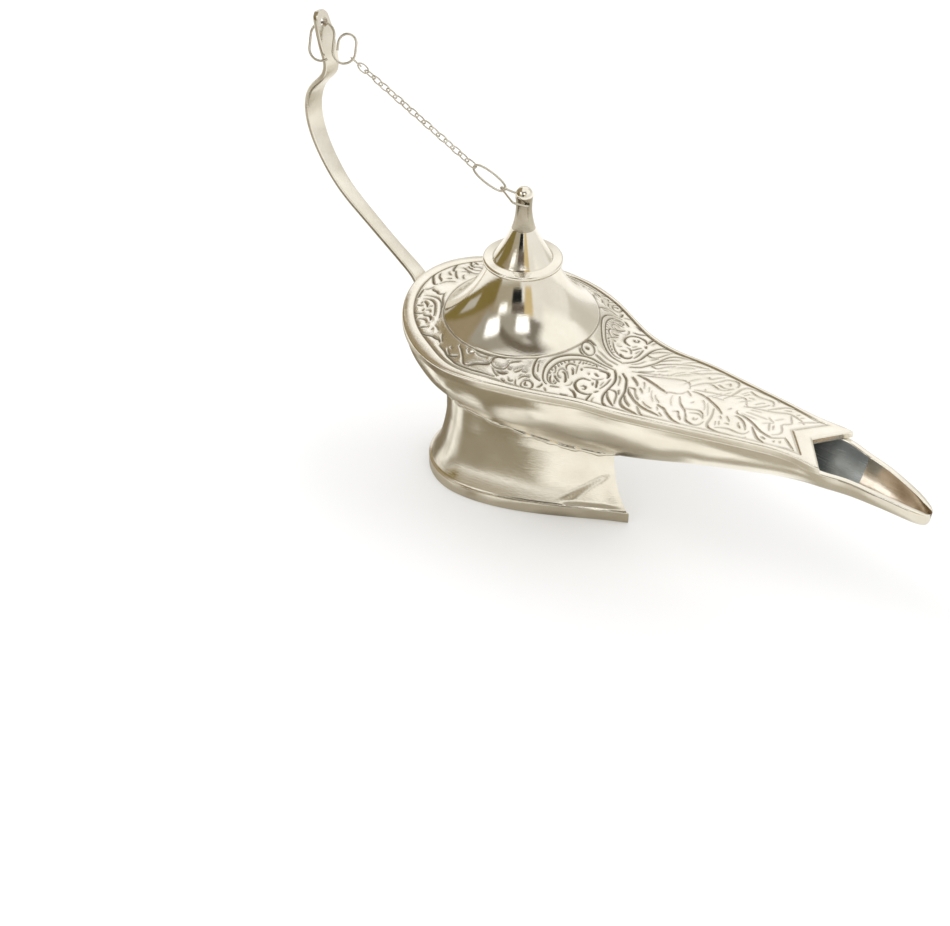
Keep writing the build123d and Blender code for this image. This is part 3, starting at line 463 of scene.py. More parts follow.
BAND = {
    (0.5, 1.0): [[23.1, 21.8, 23.2, 24, 23.8, 26, 25, 27.4, 26.6, 27.9, 28.4, 27.9], [12.6, 34.6, 14.4, 34.4,
        15.6, 33.8, 16.4, 33.2], [-41.4, 17, -40.6, 19.4, -39.4, 21.6, -38, 23.2, -36.4, 24.1, -34.8, 23.9,
        -33.4, 23], [-32.6, 23.2, -31.4, 23.4, -30.4, 22.9, -29, 23.2, -28, 24.6], [-34, 28, -33, 29.4,
        -31.4, 30.2, -29.6, 30.3, -28, 29.2, -26.8, 28.6], [-29.6, 31.5, -28, 32, -25.6, 32.4, -23.6, 32.2,
        -21.6, 31.7, -19.6, 32, -17.6, 32.2, -16.8, 33]],
    (0.5, 0.9): [[-9.8, 36.8, -8, 36.8, -6.4, 36.4, -5.4, 36]],
    (0.45, 1.0): [[0, 37.8, 1.6, 37.2, 3, 36.2, 5, 35.4, 7, 34.6, 8.2, 33.8, 8.7, 32.6]],
    (0.45, 0.95): [[15.8, 36.4, 17.4, 36.6]],
    (0.45, 0.9): [[29.8, 28.4, 29.8, 29.4, 29.2, 31], [-16, 34.4, -14, 35.2, -12, 36, -10, 37.2, -7, 38.2,
        -4.6, 38.9, -1, 39, 2, 38.8, 5, 38.4, 8, 37.8, 10.4, 37.4, 12.6, 37], [-34.7, 21, -34.2, 21.5]],
    (0.42, 0.95): [[-7.4, 32.4, -6, 33.2, -4.6, 34.4, -3.4, 35.6, -2.4, 36.8, -1.2, 37.8, 0, 37.8]],
    (0.4, 0.9): [[8.7, 33, 8.5, 31.8, 9.6, 30.6, 11, 29.9, 12.8, 29.4], [24.2, 32, 25, 33.2, 25.7, 32.9],
        [-37.4, 16.4, -36, 17, -34.8, 17.8, -34, 18.8]],
    (0.4, 0.85): [[-38.6, 20, -37.4, 19.6, -36.4, 19.4]],
    (0.36, 0.75): [[-11, 33.5, -9.8, 33.9]],
    (0.34, 0.85): [[23.2, 33, 24, 31.2, 25.4, 30.5, 27, 31, 27.6, 32.6, 26.8, 34.2, 25, 34.8, 23.6, 34.3,
        23.2, 33], [-38.6, 15.4, -36.6, 14.4, -34.4, 14.6, -32.4, 15.8, -31, 17.6, -29.6, 19.6,
        -28.4, 21.8]],
    (0.34, 0.8): [[0.4, 31.9, 3, 31.9, 5.4, 31.7, 8, 31.2], [15, 30, 16.6, 28.4, 18.6, 27], [18.6, 31.3,
        19.6, 30.3, 20.4, 28.9], [17.8, 34.6, 19.2, 35.2, 20, 34.3], [-39.6, 13.2, -36, 12, -33, 12.2,
        -31, 13.4, -29.6, 15.2, -27.8, 17.8, -26.4, 20.4, -25.6, 22], [-37.9, 17, -37.6, 18.2]],
    (0.34, 0.75): [[24.4, 23, 25, 24.6, 25.8, 25.8], [10, 34.4, 12, 35.4, 13.8, 36], [21.4, 32.4, 22.4, 30.4,
        24.6, 29.5]],
    (0.34, 0.7): [[-11.6, 34.6, -10.6, 35.6, -9.4, 36.4], [15.6, 31.7, 17, 31.4], [20.8, 29.4, 22.6, 28.6],
        [-24.4, 28, -24, 29], [-18.6, 29, -17.2, 31, -16, 32.4], [-38.2, 24.8, -36.4, 26.8, -34.6, 28.6]],
    (0.34, 0.6): [[-3, 32.8, -1.6, 33.6, 0, 33], [31.4, 29.4, 33, 30.6]],
    (0.32, 0.75): [[-33.4, 27.6, -32.4, 26.2, -31, 25.6, -29.4, 25.8, -28.4, 27]],
    (0.32, 0.7): [[15.2, 30.4, 15, 31.8, 13.6, 33.2, 11.4, 33.8, 9.6, 33.6, 8.7, 33]],
    (0.3, 0.65): [[1, 32.8, 3.4, 33, 6, 32.5]],
    (0.3, 0.6): [[20.6, 33.4, 21.6, 35.2, 23.6, 35.9], [-33.8, 17.8, -32.6, 17.4], [-33.4, 20.6, -31.8, 20,
        -31, 21], [-24.6, 26, -22.6, 27, -21.4, 28]],
}
STERN = {
    (0.5, 1.0): [[-45.8, 3.4, -45.6, 1.6, -45, -0.6, -43.4, -2.6, -42, -4.2, -40.6, -4.8, -40.2, -4.2],
        [-42.6, -10.4, -42.2, -12, -41.6, -14.4, -41, -16], [-42.8, 15.5, -42.8, 13, -42.2, 11, -41.6, 9.2,
        -40.6, 8.2, -40, 8.6]],
    (0.5, 0.8): [[-39.2, 1.9, -38, 2.6]],
    (0.45, 0.95): [[-39.6, -8, -38.6, -8.5, -37, -8.6, -35.6, -9.2, -34.4, -8.8, -33.6, -7.8], [-40.4, 21.5,
        -40, 19.6, -39, 18, -37.6, 16.6, -36, 16.2]],
    (0.42, 0.85): [[-44, 3.2, -43, 1.2, -41.6, -0.2, -40.6, -0.8, -40, -1.6]],
    (0.38, 0.9): [[-40, 8.6, -38.8, 7, -37.4, 5.4, -36, 4.4]],
    (0.36, 0.7): [[-40.2, -6.8, -40.8, -8.6, -42, -9.8]],
    (0.34, 0.8): [[-33.6, -8, -32.6, -10, -31.4, -12, -30, -13.6, -28.4, -16.4]],
    (0.34, 0.7): [[-39.6, -3, -38.6, -1, -37, 0.8, -35.4, 1.6]],
    (0.34, 0.6): [[-38.8, 12.8, -37.6, 14.6, -36, 14.8], [-35.6, 8.2, -34.6, 6.4, -33.6, 5.8], [-37.6, 10.4,
        -36, 11.4, -34.4, 10.8], [-42, 6.6, -40.8, 5.2, -39.6, 4.8]],
}
EYE, EYE_LENGTH, EYE_WIDTH = (34.2, -2.6), 2.5, 2.9
eye_turns = np.linspace(0, 2 * math.pi, 25)
eye_ring = [(EYE[0] + EYE_LENGTH * math.cos(a), EYE[1] + EYE_WIDTH * math.sin(a)) for a in eye_turns]
EYE_MARKS = {
    (0.8, 1.0): [[EYE[0] - 0.7, EYE[1] - 0.6, EYE[0] + 0.2, EYE[1] + 0.2]],
    (0.7, 1.0): [[32, -0.4, 32.6, 1.0, 34, 1.2, 35, 1.6]],
    (0.7, 0.6): [[37.4, -1.8, 40, -1.6, 45, -1.8]],
    (0.5, 0.9): [[32.2, -5.4, 33.2, -6.6, 34.4, -6.6]],
    (0.5, 0.5): [[37.4, 0.9, 40, 0.9, 46, 0.6]],
    (0.4, 0.9): [eye_ring],
}

# Field: the chased lines as one relief over the deck's recess and the dome's skirt
FIELD_STEP = 0.26
FIELD_START, FIELD_END, FIELD_SIDE = -47.0, 133.0, 42.9
FIELD_OVERLAP, FIELD_HOLE, FIELD_FLOOR = 1.2, 27.0, 2.6
FAR = 9.0
LINE_STEP, LINE_POINTS, LINE_MARGIN = 0.6, 4, 4.0
LINE_SHARE, LINE_END, LINE_TAPER, LINE_SHARPNESS = 0.8, 0.45, 5.0, 1.1
EDGE_GROOVE, EDGE_GROOVE_PLACE, EDGE_GROOVE_WIDTH = 0.6, 0.1, 0.5
DOME_GROOVE, DOME_GROOVE_PLACE, DOME_GROOVE_WIDTH = 0.7, 0.4, 0.45
GROUND_RISE, GROOVE_DEPTH, PILLOW_DEPTH, PILLOW_REACH = 0.74, 0.52, 0.32, 1.2
STAIN_SPREAD, STAIN_REACH = 0.22, 0.8
FAINT_START, FAINT_RUN, FAINT_RELIEF, FAINT_STAIN = 54.0, 14.0, 0.4, 0.55
DOME_FOOT, DOME_FOOT_HEIGHT = 31.3, 5.0
SKIRT_END = (41.0, -1.3)
SKIRT_SLOPE, SKIRT_BLEND = 0.6, 1.6
SKIRT = arc3((DOME_FOOT, DOME_FOOT_HEIGHT), (35.2, 2.2), SKIRT_END, 30)
field_x = np.arange(FIELD_START, FIELD_END, FIELD_STEP)
field_y = np.arange(-FIELD_SIDE, FIELD_SIDE + FIELD_STEP / 2, FIELD_STEP)
X, Y = np.meshgrid(field_x, field_y, indexing="ij")
groove, near = np.zeros(X.shape), np.full(X.shape, FAR)


def chase(half, depth, line):
    """Carve one line into the field's groove, and note how near it is."""
    run = sum(math.dist(p, q) for p, q in zip(line, line[1:]))
    line = path(line, max(LINE_POINTS, int(run / LINE_STEP)))
    (x0, y0), (x1, y1) = line.min(0) - LINE_MARGIN, line.max(0) + LINE_MARGIN
    i0, i1 = np.searchsorted(field_x, (x0, x1))
    j0, j1 = np.searchsorted(field_y, (y0, y1))
    part = np.s_[i0:i1, j0:j1]
    px, py = X[part], Y[part]
    for k, (p, q) in enumerate(zip(line, line[1:])):
        step = q - p
        t = np.clip(((px - p[0]) * step[0] + (py - p[1]) * step[1]) / (step @ step), 0, 1)
        d = np.hypot(px - p[0] - t * step[0], py - p[1] - t * step[1])
        place = (k + t) / (len(line) - 1)
        swell = np.minimum(1.0, LINE_TAPER * np.minimum(place, 1 - place))
        width = LINE_SHARE * half * (LINE_END + (1 - LINE_END) * swell)
        groove[part] = np.maximum(groove[part], depth * np.exp(-(d / width)**2 * LINE_SHARPNESS))
        near[part] = np.minimum(near[part], d)


def chase_all(motif, sides):
    """Carve a motif's lines, as given and, where asked, mirrored to the other side."""
    for (half, depth), lines in motif.items():
        for line in lines:
            for side in sides:
                chase(half, depth, np.array(line, float).reshape(-1, 2) * (1, side))


def loop_distance(loop):
    """Distance from each point of the field to a closed line, positive inside it."""
    best = np.full(X.shape, 1e9)
    inside = np.zeros(X.shape, bool)
    for (x0, y0), (x1, y1) in zip(loop, np.roll(loop, -1, 0)):
        dx, dy = x1 - x0, y1 - y0
        t = np.clip(((X - x0) * dx + (Y - y0) * dy) / (dx * dx + dy * dy), 0, 1)
        best = np.minimum(best, np.hypot(X - x0 - t * dx, Y - y0 - t * dy))
        if y0 != y1:
            inside ^= ((y0 > Y) != (y1 > Y)) & (X < dx * (Y - y0) / (y1 - y0) + x0)
    return np.where(inside, best, -best)


def skirt_z(x, y):
    """Height of the deck's surface with the skirt that runs out from the dome's foot."""
    radial = np.hypot(x, y)
    deck = deck_z(x, y)
    flare = np.interp(radial, *SKIRT.T) - SKIRT_SLOPE * np.maximum(radial - SKIRT_END[0], 0.0)
    share = np.clip(0.5 + (flare - deck) / SKIRT_BLEND, 0, 1)
    return deck * (1 - share) + flare * share + SKIRT_BLEND / 2 * share * (1 - share)


def field_faces(keep):
    """Top, underside and walls of the field's kept cells, and the points that they use."""
    cell = keep[:-1, :-1] & keep[1:, :-1] & keep[:-1, 1:] & keep[1:, 1:]
    used = np.zeros(X.shape, bool)
    for di in (0, 1):
        for dj in (0, 1):
            used[di:used.shape[0] - 1 + di, dj:used.shape[1] - 1 + dj] |= cell
    number = np.cumsum(used.ravel()).reshape(X.shape) - 1
    count = int(used.sum())
    ci, cj = np.nonzero(cell)
    top = np.stack([number[ci, cj], number[ci + 1, cj], number[ci + 1, cj + 1], number[ci, cj + 1]], 1)
    padded = np.pad(cell, 1)
    walls = []
    for di, dj, k in ((-1, 0, (3, 0)), (1, 0, (1, 2)), (0, -1, (0, 1)), (0, 1, (2, 3))):
        free = ~padded[1 + di:padded.shape[0] - 1 + di, 1 + dj:padded.shape[1] - 1 + dj][cell]
        a, b = top[free, k[0]], top[free, k[1]]
        walls.append(np.stack([b, a, a + count, b + count], 1))
    return np.concatenate([top, top[:, ::-1] + count] + walls).tolist(), used


for motif in (AXIS, STERN, EYE_MARKS):
    chase_all(motif, sides=(1,))
for motif in (WING, PLUMES, NOSE, BAND):
    chase_all(motif, sides=(1, -1))
edge = loop_distance(rim_inner[::2])
radial = np.hypot(X, Y)
from_edge = np.maximum(edge - EDGE_GROOVE_PLACE, 0) / EDGE_GROOVE_WIDTH
from_dome = (radial - DOME_FOOT - DOME_GROOVE_PLACE) / DOME_GROOVE_WIDTH
groove = np.maximum(groove, EDGE_GROOVE * np.exp(-from_edge**2))
groove = np.maximum(groove, DOME_GROOVE * np.exp(-from_dome**2))
near = np.minimum(near, np.maximum(edge, 0))
faint = ease((X - FAINT_START) / FAINT_RUN)
carved = GROOVE_DEPTH * groove + PILLOW_DEPTH * np.exp(-near / PILLOW_REACH)
field_z = skirt_z(X, Y) - FIELD_DEPTH + (GROUND_RISE - carved * (1 - FAINT_RELIEF * faint))
stain = np.clip(groove + STAIN_SPREAD * np.exp(-near / STAIN_REACH), 0, 1) * (1 - FAINT_STAIN * faint)
faces, used = field_faces((edge > -FIELD_OVERLAP) & (radial > FIELD_HOLE))
top_points = np.column_stack([X[used], Y[used], field_z[used]])
low_points = np.column_stack([X[used], Y[used], deck_z(X[used], Y[used]) - FIELD_FLOOR])
ornament = add_mesh("deck_ornament", np.concatenate([top_points, low_points]), faces, 180.0)
patina = ornament.data.attributes.new("patina", "FLOAT", "POINT")
patina.data.foreach_set("value", np.concatenate([stain[used], np.zeros(len(low_points))]).astype(np.float32))

# Dome: a flared cone with the filling neck at its top, as (radius, height)
NECK_RADIUS, NECK_HEIGHT, NECK_BORE, NECK_EDGE = 14.0, 29.2, 12.3, 0.5
dome_line = [(NECK_BORE, 19.2), (NECK_BORE, 28.8), (NECK_BORE + 0.4, NECK_HEIGHT)]
dome_line += [(NECK_RADIUS - NECK_EDGE, NECK_HEIGHT)]
dome_line += [*arc3((NECK_RADIUS, NECK_HEIGHT - NECK_EDGE), (20.7, 15.7), (DOME_FOOT, DOME_FOOT_HEIGHT), 110)]
dome_line += [(31.43, 4.85), (31.5, 4.6), (31.5, 2.8), (28.8, 2.8), (18.5, 13.5)]
dome = turned("dome", dome_line, 256, 45.0)

# Lid: flange, cone and finial over a spigot, with a cross hole for its ring
LID_SEAT, FLANGE_TOP, CONE_TOP, FINIAL_TOP = 29.3, 31.1, 44.6, 62.4
SPIGOT, SPIGOT_BORE, SPIGOT_LENGTH = 12.0, 10.0, 5.0
FLANGE, CONE, CONE_NECK, FINIAL = 16.0, 11.9, 4.7, 3.6
AXIS_GAP = 0.02
HOLE_RADIUS, HOLE_ANGLE = 1.1, math.radians(-35.0)
hole_middle = np.array([0.0, 0.0, 56.3])
hole_way = np.array([math.cos(HOLE_ANGLE), math.sin(HOLE_ANGLE), 0.0])
crown = FINIAL_TOP - FINIAL
bulge = FINIAL * math.sqrt(0.5)
lid_line = [(SPIGOT, LID_SEAT - SPIGOT_LENGTH), (SPIGOT, LID_SEAT), (FLANGE - 0.25, LID_SEAT),
            (FLANGE - 0.05, LID_SEAT + 0.25), (FLANGE, LID_SEAT + 0.8), (FLANGE - 0.07, FLANGE_TOP - 0.45),
            (FLANGE - 0.3, FLANGE_TOP - 0.15), (FLANGE - 0.8, FLANGE_TOP), (CONE + 0.6, FLANGE_TOP + 0.05),
            (CONE + 0.15, FLANGE_TOP + 0.2)]
lid_line += [*arc3((CONE, FLANGE_TOP + 0.5), (7.6, 38.6), (CONE_NECK, CONE_TOP), 30)]
lid_line += [*arc3((CONE_NECK, CONE_TOP), (3.4, 50.5), (FINIAL, crown), 24)[1:]]
lid_line += [*arc3((FINIAL, crown), (bulge, crown + bulge), (AXIS_GAP, FINIAL_TOP), 16)[1:]]
lid_line += [(AXIS_GAP, CONE_TOP - 3.0), (2.0, CONE_TOP - 3.0), (8.0, FLANGE_TOP), (SPIGOT_BORE, LID_SEAT),
             (SPIGOT_BORE, LID_SEAT - SPIGOT_LENGTH)]
lid = turned("lid_turned", lid_line)
drilled(lid, hole_middle, hole_way, HOLE_RADIUS)

# Foot: a flared teardrop pedestal on a plinth, as (height, inset), with a fold on its near side
FOOT_CENTRE, FOOT_RADIUS, FOOT_TIP = -14.0, 28.0, 57.0
TIP_INSET, BOW_SHARE, BOW_WIDTH, TIP_SLOPE = 1.1, 0.55, 0.60, 1.15
PLINTH = [(0.0, 3.6), (0.0, 0.5), (0.12, 0.15), (0.5, 0.0), (4.9, 0.0), (5.3, 0.12), (5.5, 0.45), (5.5, 1.0)]
flare = spline([(5.5, 1.2), (12, 4.3), (20, 6.6), (30, 8.2), (48, 8.2)])
FLARE_START, FLARE_TOP, WAIST_INSET = 5.7, 30.0, 8.2
FOOT_INSIDE = [(29.0, 10.6), (26.0, 10.6), (12.0, 6.7)]
FOOT_SEAT, RAY_HEIGHT = 0.4, 20.0
CREASE, CREASE_X, CREASE_HEIGHT, CREASE_HALF = 1.0, 37.0, 13.0, 1.2
CREASE_START, CREASE_RUN, CREASE_FOOT, CREASE_FADE = 22.0, 12.0, 5.6, 3.0
CREASE_PUSH = (0.4, -0.9)
BEAD_INSET, BEAD_RADIUS, BEAD_DROP = 7.4, 1.4, 0.5


def foot_outline(inset, count=48):
    """Teardrop in plan, from the tip round the back to the tip."""
    radius = FOOT_RADIUS - inset
    tip = np.array([FOOT_TIP - TIP_INSET * inset, 0.0])
    bow = np.array([FOOT_CENTRE * (1 - BOW_SHARE) + tip[0] * BOW_SHARE, radius * BOW_WIDTH])
    start = np.array([FOOT_CENTRE, radius])
    chords = [np.linalg.norm(bow - start), np.linalg.norm(tip - bow)]
    t = [0.0, chords[0], sum(chords)]
    leave, arrive = np.array([1.0, 0.0]), unit(np.array([tip[0] - FOOT_CENTRE, -TIP_SLOPE * radius]))
    s = np.linspace(0, t[-1], count)
    side = np.stack([spline([(t[0], start[k]), (t[1], bow[k]), (t[2], tip[k])], leave[k], arrive[k])(s)
                     for k in (0, 1)], 1)
    turns = np.linspace(0.5 * math.pi, 1.5 * math.pi, 2 * count)[1:-1]
    back = np.column_stack([FOOT_CENTRE + radius * np.cos(turns), radius * np.sin(turns)])
    return np.concatenate([side[::-1], back, (side * (1, -1))[:-1]])


def folded(plan, z):
    """Outline pushed out below the slanting fold near the foot's tip."""
    below = ((z - CREASE_HEIGHT) - (plan[:, 0] - CREASE_X)) / math.sqrt(2.0)
    push = CREASE * ease((CREASE_HALF - below) / (2 * CREASE_HALF))
    push = push * ease((plan[:, 0] - CREASE_START) / CREASE_RUN)
    push = push * ease(-plan[:, 1] / CREASE_FADE) * float(ease((z - CREASE_FOOT) / CREASE_FADE))
    return plan + push[:, None] * CREASE_PUSH


def at_height(plan, z):
    """Outline at one height, or at one for each point."""
    return np.column_stack([plan, np.broadcast_to(z, len(plan))])


hull_tree = BVHTree.FromObject(hull, bpy.context.evaluated_depsgraph_get())
foot_rows = PLINTH + [(z, float(flare(z))) for z in np.linspace(FLARE_START, FLARE_TOP, 40)]
foot_points = [at_height(folded(foot_outline(inset), z), z) for z, inset in foot_rows]
upright = foot_outline(WAIST_INSET)
tops = []
for x, y in upright:
    hit = hull_tree.ray_cast(Vector((x * MM, y * MM, RAY_HEIGHT * MM)), Vector((0, 0, 1)))[0]
    tops.append(hit.z / MM + FOOT_SEAT)
tops = np.array(tops)
foot_points += [at_height(upright, FLARE_TOP + share * (tops - FLARE_TOP)) for share in (0.25, 0.5, 0.75, 1)]
foot_points += [at_height(foot_outline(inset), z) for z, inset in FOOT_INSIDE]
foot_faces = grid_faces(len(foot_points), len(upright), True, True, flip=True)
foot = add_mesh("foot_pedestal", foot_points, foot_faces, 35.0, datum=0.0)
turn = np.arange(len(upright))
bead_size = BEAD_RADIUS + 0.25 * np.sin(turn * 0.83) + 0.16 * np.sin(turn * 1.71 + 1.0)
bead_line = at_height(foot_outline(BEAD_INSET), tops - BEAD_DROP + 0.25 * np.sin(turn * 0.57))
bead = add_mesh("foot_bead", *tube(bead_line, bead_size, 12, True, (0.0, 0.0, 1.0)), 60.0, datum=0.0)

# Handle: a bent strip with eased edges that ends in a leaf-shaped head; x is from the stern's back
STRIP = [(-2.6, 1), (-8.5, 6.2), (-20, 14.4), (-31.2, 22.8), (-41.5, 31.4), (-50, 42.6), (-54.8, 52.6),
         (-56.7, 62.6), (-56, 68.8), (-53.6, 74.2), (-48.8, 79.4), (-46.2, 83.2), (-45.6, 87), (-46.4, 92),
         (-47.9, 98.5), (-49.3, 104), (-49.9, 106.2), (-50.2, 107.3)]
HEAD_LOW, HEAD_HIGH = np.array(STRIP[13]), np.array(STRIP[15])
strip_width = spline([(-30, 4.5), (-8, 4.5), (5, 3.2), (25, 3.2), (45, 3.8), (65, 4.5), (78, 4.6),
                      (83, 4.1), (87, 3.8), (92, 4.2), (98.5, 4.2), (104, 3.7), (106.2, 2.8), (107.3, 1.5)])
TAB_ANGLES, TAB_STEP = (22.0, 17.0, 12.5, 9.0), 0.5
STRIP_SEAT, STRIP_HALF, STRIP_POINTS = 0.3, 1.2, 220
STRIP_SECTION = [(-1, -0.55), (-0.93, -0.93), (-0.6, -1.0), (0.6, -1.0), (0.93, -0.93), (1, -0.55), (1, 0.55),
                 (0.93, 0.93), (0.6, 1.0), (-0.6, 1.0), (-0.93, 0.93), (-1, 0.55)]
EYE_HOLE_RADIUS = 1.9
eye = np.array([STERN_BACK - 48.9, 0.0, 102.9])
strip = []
for angle in TAB_ANGLES:
    x, _, z = stern_profile(angle, 0.0)
    x_on, _, z_on = stern_profile(angle - TAB_STEP, 0.0)
    strip.append(np.array([x, z]) + unit(np.array([z - z_on, x_on - x])) * (STRIP_SEAT + STRIP_HALF))
strip = path(strip + [np.array([STERN_BACK + x, z]) for x, z in STRIP], STRIP_POINTS)
strip_ways = np.gradient(strip, axis=0)
strip_ways /= np.linalg.norm(strip_ways, axis=1)[:, None]
strip_points = []
for (x, z), (wx, wz) in zip(strip, STRIP_HALF * strip_ways):
    width = float(strip_width(z))
    strip_points.append([(x + wz * v, width * u, z - wx * v) for u, v in STRIP_SECTION])
strip_cols = len(STRIP_SECTION)
strip_faces = grid_faces(STRIP_POINTS, strip_cols, False, True)
strip_last = (STRIP_POINTS - 1) * strip_cols
strip_faces += [tuple(range(strip_cols))[::-1], tuple(range(strip_last, strip_last + strip_cols))]
handle = add_mesh("handle_strip", strip_points, strip_faces)
head_x, head_z = unit(HEAD_HIGH - HEAD_LOW)
head_up = np.array([head_x, 0.0, head_z])
drilled(handle, eye, (head_z, 0.0, -head_x), EYE_HOLE_RADIUS)

# Hook: one closed loop through the eye and one open ring of bent wire, as (along, up) from the eye
HOOK_WIRE, HOOK_TILT = 1.0, 0.55
HOOK_TIP = (7.55, -10.4)
RING_TOP, RING_TOP_RADIUS = (11.25, -7.3), 3.7
RING_LOW, RING_LOW_RADIUS = (10.28, -10.5), 4.68
LOOP_TOP, LOOP_LOW, LOOP_RADIUS, LOOP_END = (0.75, -5.0), (0.75, -10.2), 4.85, 308
hook_up = unit(head_up + (0.0, HOOK_TILT, 0.0))
hook_along = unit(np.array([hook_up[1], -hook_up[0], 0.0]))
hook_normal = np.cross(hook_along, hook_up)
hook_line = [HOOK_TIP, *arc(RING_TOP, RING_TOP_RADIUS, 180, 0, 24)]
hook_line += arc(RING_LOW, RING_LOW_RADIUS, 0, -180, 28)[1:]
hook_line += arc(LOOP_TOP, LOOP_RADIUS, 0, 180, 28)[1:] + arc(LOOP_LOW, LOOP_RADIUS, 180, LOOP_END, 22)
hook_path = [eye + hook_along * a + hook_up * b for a, b in hook_line]
hook = add_mesh("hook_wire", *tube(hook_path, HOOK_WIRE / 2, 14, False, hook_normal))

# Chain: links a quarter turn apart from the hook to the end ring, spaced as in the solids but of thinner wire
LINKS, LINK_WIRE, LINK_GAP = 17, 0.7, 0.05
LINK_WIDTH, LINK_FULLNESS, THIN_WIRE = 2.7, 0.9, 0.6
LINK_ROLL, LINK_ROLL_RUN = 45.0, 4.0
END_RING_WIRE, END_RING_WIDTH = 0.9, 4.6
ring_start = np.array([-24.0, 0.0, 63.3])
hang = eye + hook_along * RING_LOW[0] + hook_up * RING_LOW[1]
pull = unit(ring_start - hang)
pull_flat = unit(hook_along * (pull @ hook_along) + hook_up * (pull @ hook_up))
chain_start = hang + pull_flat * RING_LOW_RADIUS
chain_length = np.linalg.norm(ring_start - chain_start)
chain_way = unit(ring_start - chain_start)
wires = (LINKS - 1) * LINK_WIRE + (HOOK_WIRE + END_RING_WIRE) / 2
link_inner = (chain_length + wires + (LINKS + 1) * LINK_GAP) / LINKS
pitch = link_inner - LINK_WIRE - LINK_GAP
first_normal = square_to(np.cross(pull_flat, hook_normal), chain_way)
second_normal = np.cross(chain_way, first_normal)
chain_parts = []
for i in range(LINKS):
    middle = chain_start + chain_way * (link_inner / 2 - HOOK_WIRE / 2 - LINK_GAP + i * pitch)
    roll = math.radians(90.0 * (i % 2) + LINK_ROLL * float(ease(i / LINK_ROLL_RUN)))
    normal = first_normal * math.cos(roll) + second_normal * math.sin(roll)
    across = np.cross(normal, chain_way)
    link = oval(link_inner + LINK_WIRE, LINK_WIDTH, 24, LINK_FULLNESS)
    line = [middle + chain_way * a + across * b for a, b in link]
    chain_parts.append(tube(line, THIN_WIRE / 2, 10, True, normal))

# Lid's ring: wire bent to four corners round the finial, through its cross hole
RING_WIRE, RING_BEND = 0.9, 1.6
RING_HALF, RING_SHOULDER = 4.9, (3.6, 6.2)
RING_HOLD = 2.6
apex = np.array([-11.6, 0.0, 58.6])
to_apex = apex - hole_middle
ring_side = square_to(to_apex, hole_way)
corners = [(RING_HALF, 0.0), RING_SHOULDER, (to_apex @ hole_way, to_apex @ ring_side), (-RING_HALF, 0.0)]
corners = [np.array(corner) for corner in corners]
ring_line, splits = [], []
for i, here in enumerate(corners):
    back, fore = unit(corners[i - 1] - here), unit(corners[(i + 1) % len(corners)] - here)
    splits.append(unit(back + fore))
    ring_line += [here + RING_BEND * (back * (1 - t)**2 + fore * t**2) for t in np.linspace(0, 1, 9)]
ring_path = [hole_middle + hole_way * a + ring_side * b for a, b in ring_line]
lid_ring = add_mesh("lid_ring_wire", *tube(ring_path, RING_WIRE / 2, 14, True, np.cross(hole_way, ring_side)))

# End ring: an oval from the last link to the lid's ring
apex_split = splits[2]
ring_end = apex + (hole_way * apex_split[0] + ring_side * apex_split[1]) * RING_HOLD
ring_length = np.linalg.norm(ring_end - ring_start)
ring_way = unit(ring_end - ring_start)
ring_across = square_to(first_normal, ring_way)
end_ring = oval(ring_length, END_RING_WIDTH, 44)
end_line = [(ring_start + ring_end) / 2 + ring_way * a + ring_across * b for a, b in end_ring]
chain_parts.append(tube(end_line, END_RING_WIRE / 2, 14, True, np.cross(ring_way, ring_across)))
chain = add_mesh("chain", *joined(chain_parts))

# Shader nodes
def node(tree, kind, **inputs):
    """Shader node with its inputs set."""
    made = tree.nodes.new("ShaderNode" + kind)
    for key, value in inputs.items():
        made.inputs[key].default_value = value
    return made


def maths(tree, kind, *values):
    """Result of a math node on numbers and sockets."""
    made = node(tree, "Math")
    made.operation = kind
    for value, socket in zip(values, made.inputs):
        if isinstance(value, float):
            socket.default_value = value
        else:
            tree.links.new(value, socket)
    return made.outputs["Value"]


def ramp(tree, source, start, end, low=0.0, high=1.0):
    """Value that goes from low to high as the source goes from start to end."""
    ends = {"From Min": start, "From Max": end, "To Min": low, "To Max": high}
    made = node(tree, "MapRange", **ends)
    tree.links.new(source, made.inputs["Value"])
    return made.outputs["Result"]


def mixed(tree, factor, a, b):
    """Colour between two colours or sockets."""
    made = node(tree, "Mix")
    made.data_type = "RGBA"
    tree.links.new(factor, made.inputs["Factor"])
    for value, socket in ((a, made.inputs["A"]), (b, made.inputs["B"])):
        if isinstance(value, tuple):
            socket.default_value = value + (1.0,)
        else:
            tree.links.new(value, socket)
    return made.outputs["Result"]


def noise(tree, place, scale, detail, roughness):
    """Noise texture at a place."""
    made = node(tree, "TexNoise", Scale=scale, Detail=detail, Roughness=roughness)
    tree.links.new(place, made.inputs["Vector"])
    return made.outputs["Fac"]


# Materials
SWELL_DEPTH, RUB_DEPTH, GRAIN_DEPTH = 0.0012, 0.00008, 0.00005
PATINA_ROUGHNESS = 0.35
TROUGH_BURNT_X = 152.0
# Faces that take painted shade on the handle's narrow side edges
SHADED_EDGE_FACING, SHADED_EDGE_AREA = 0.95, 4e-6
FINIAL_EDGE = 0.3


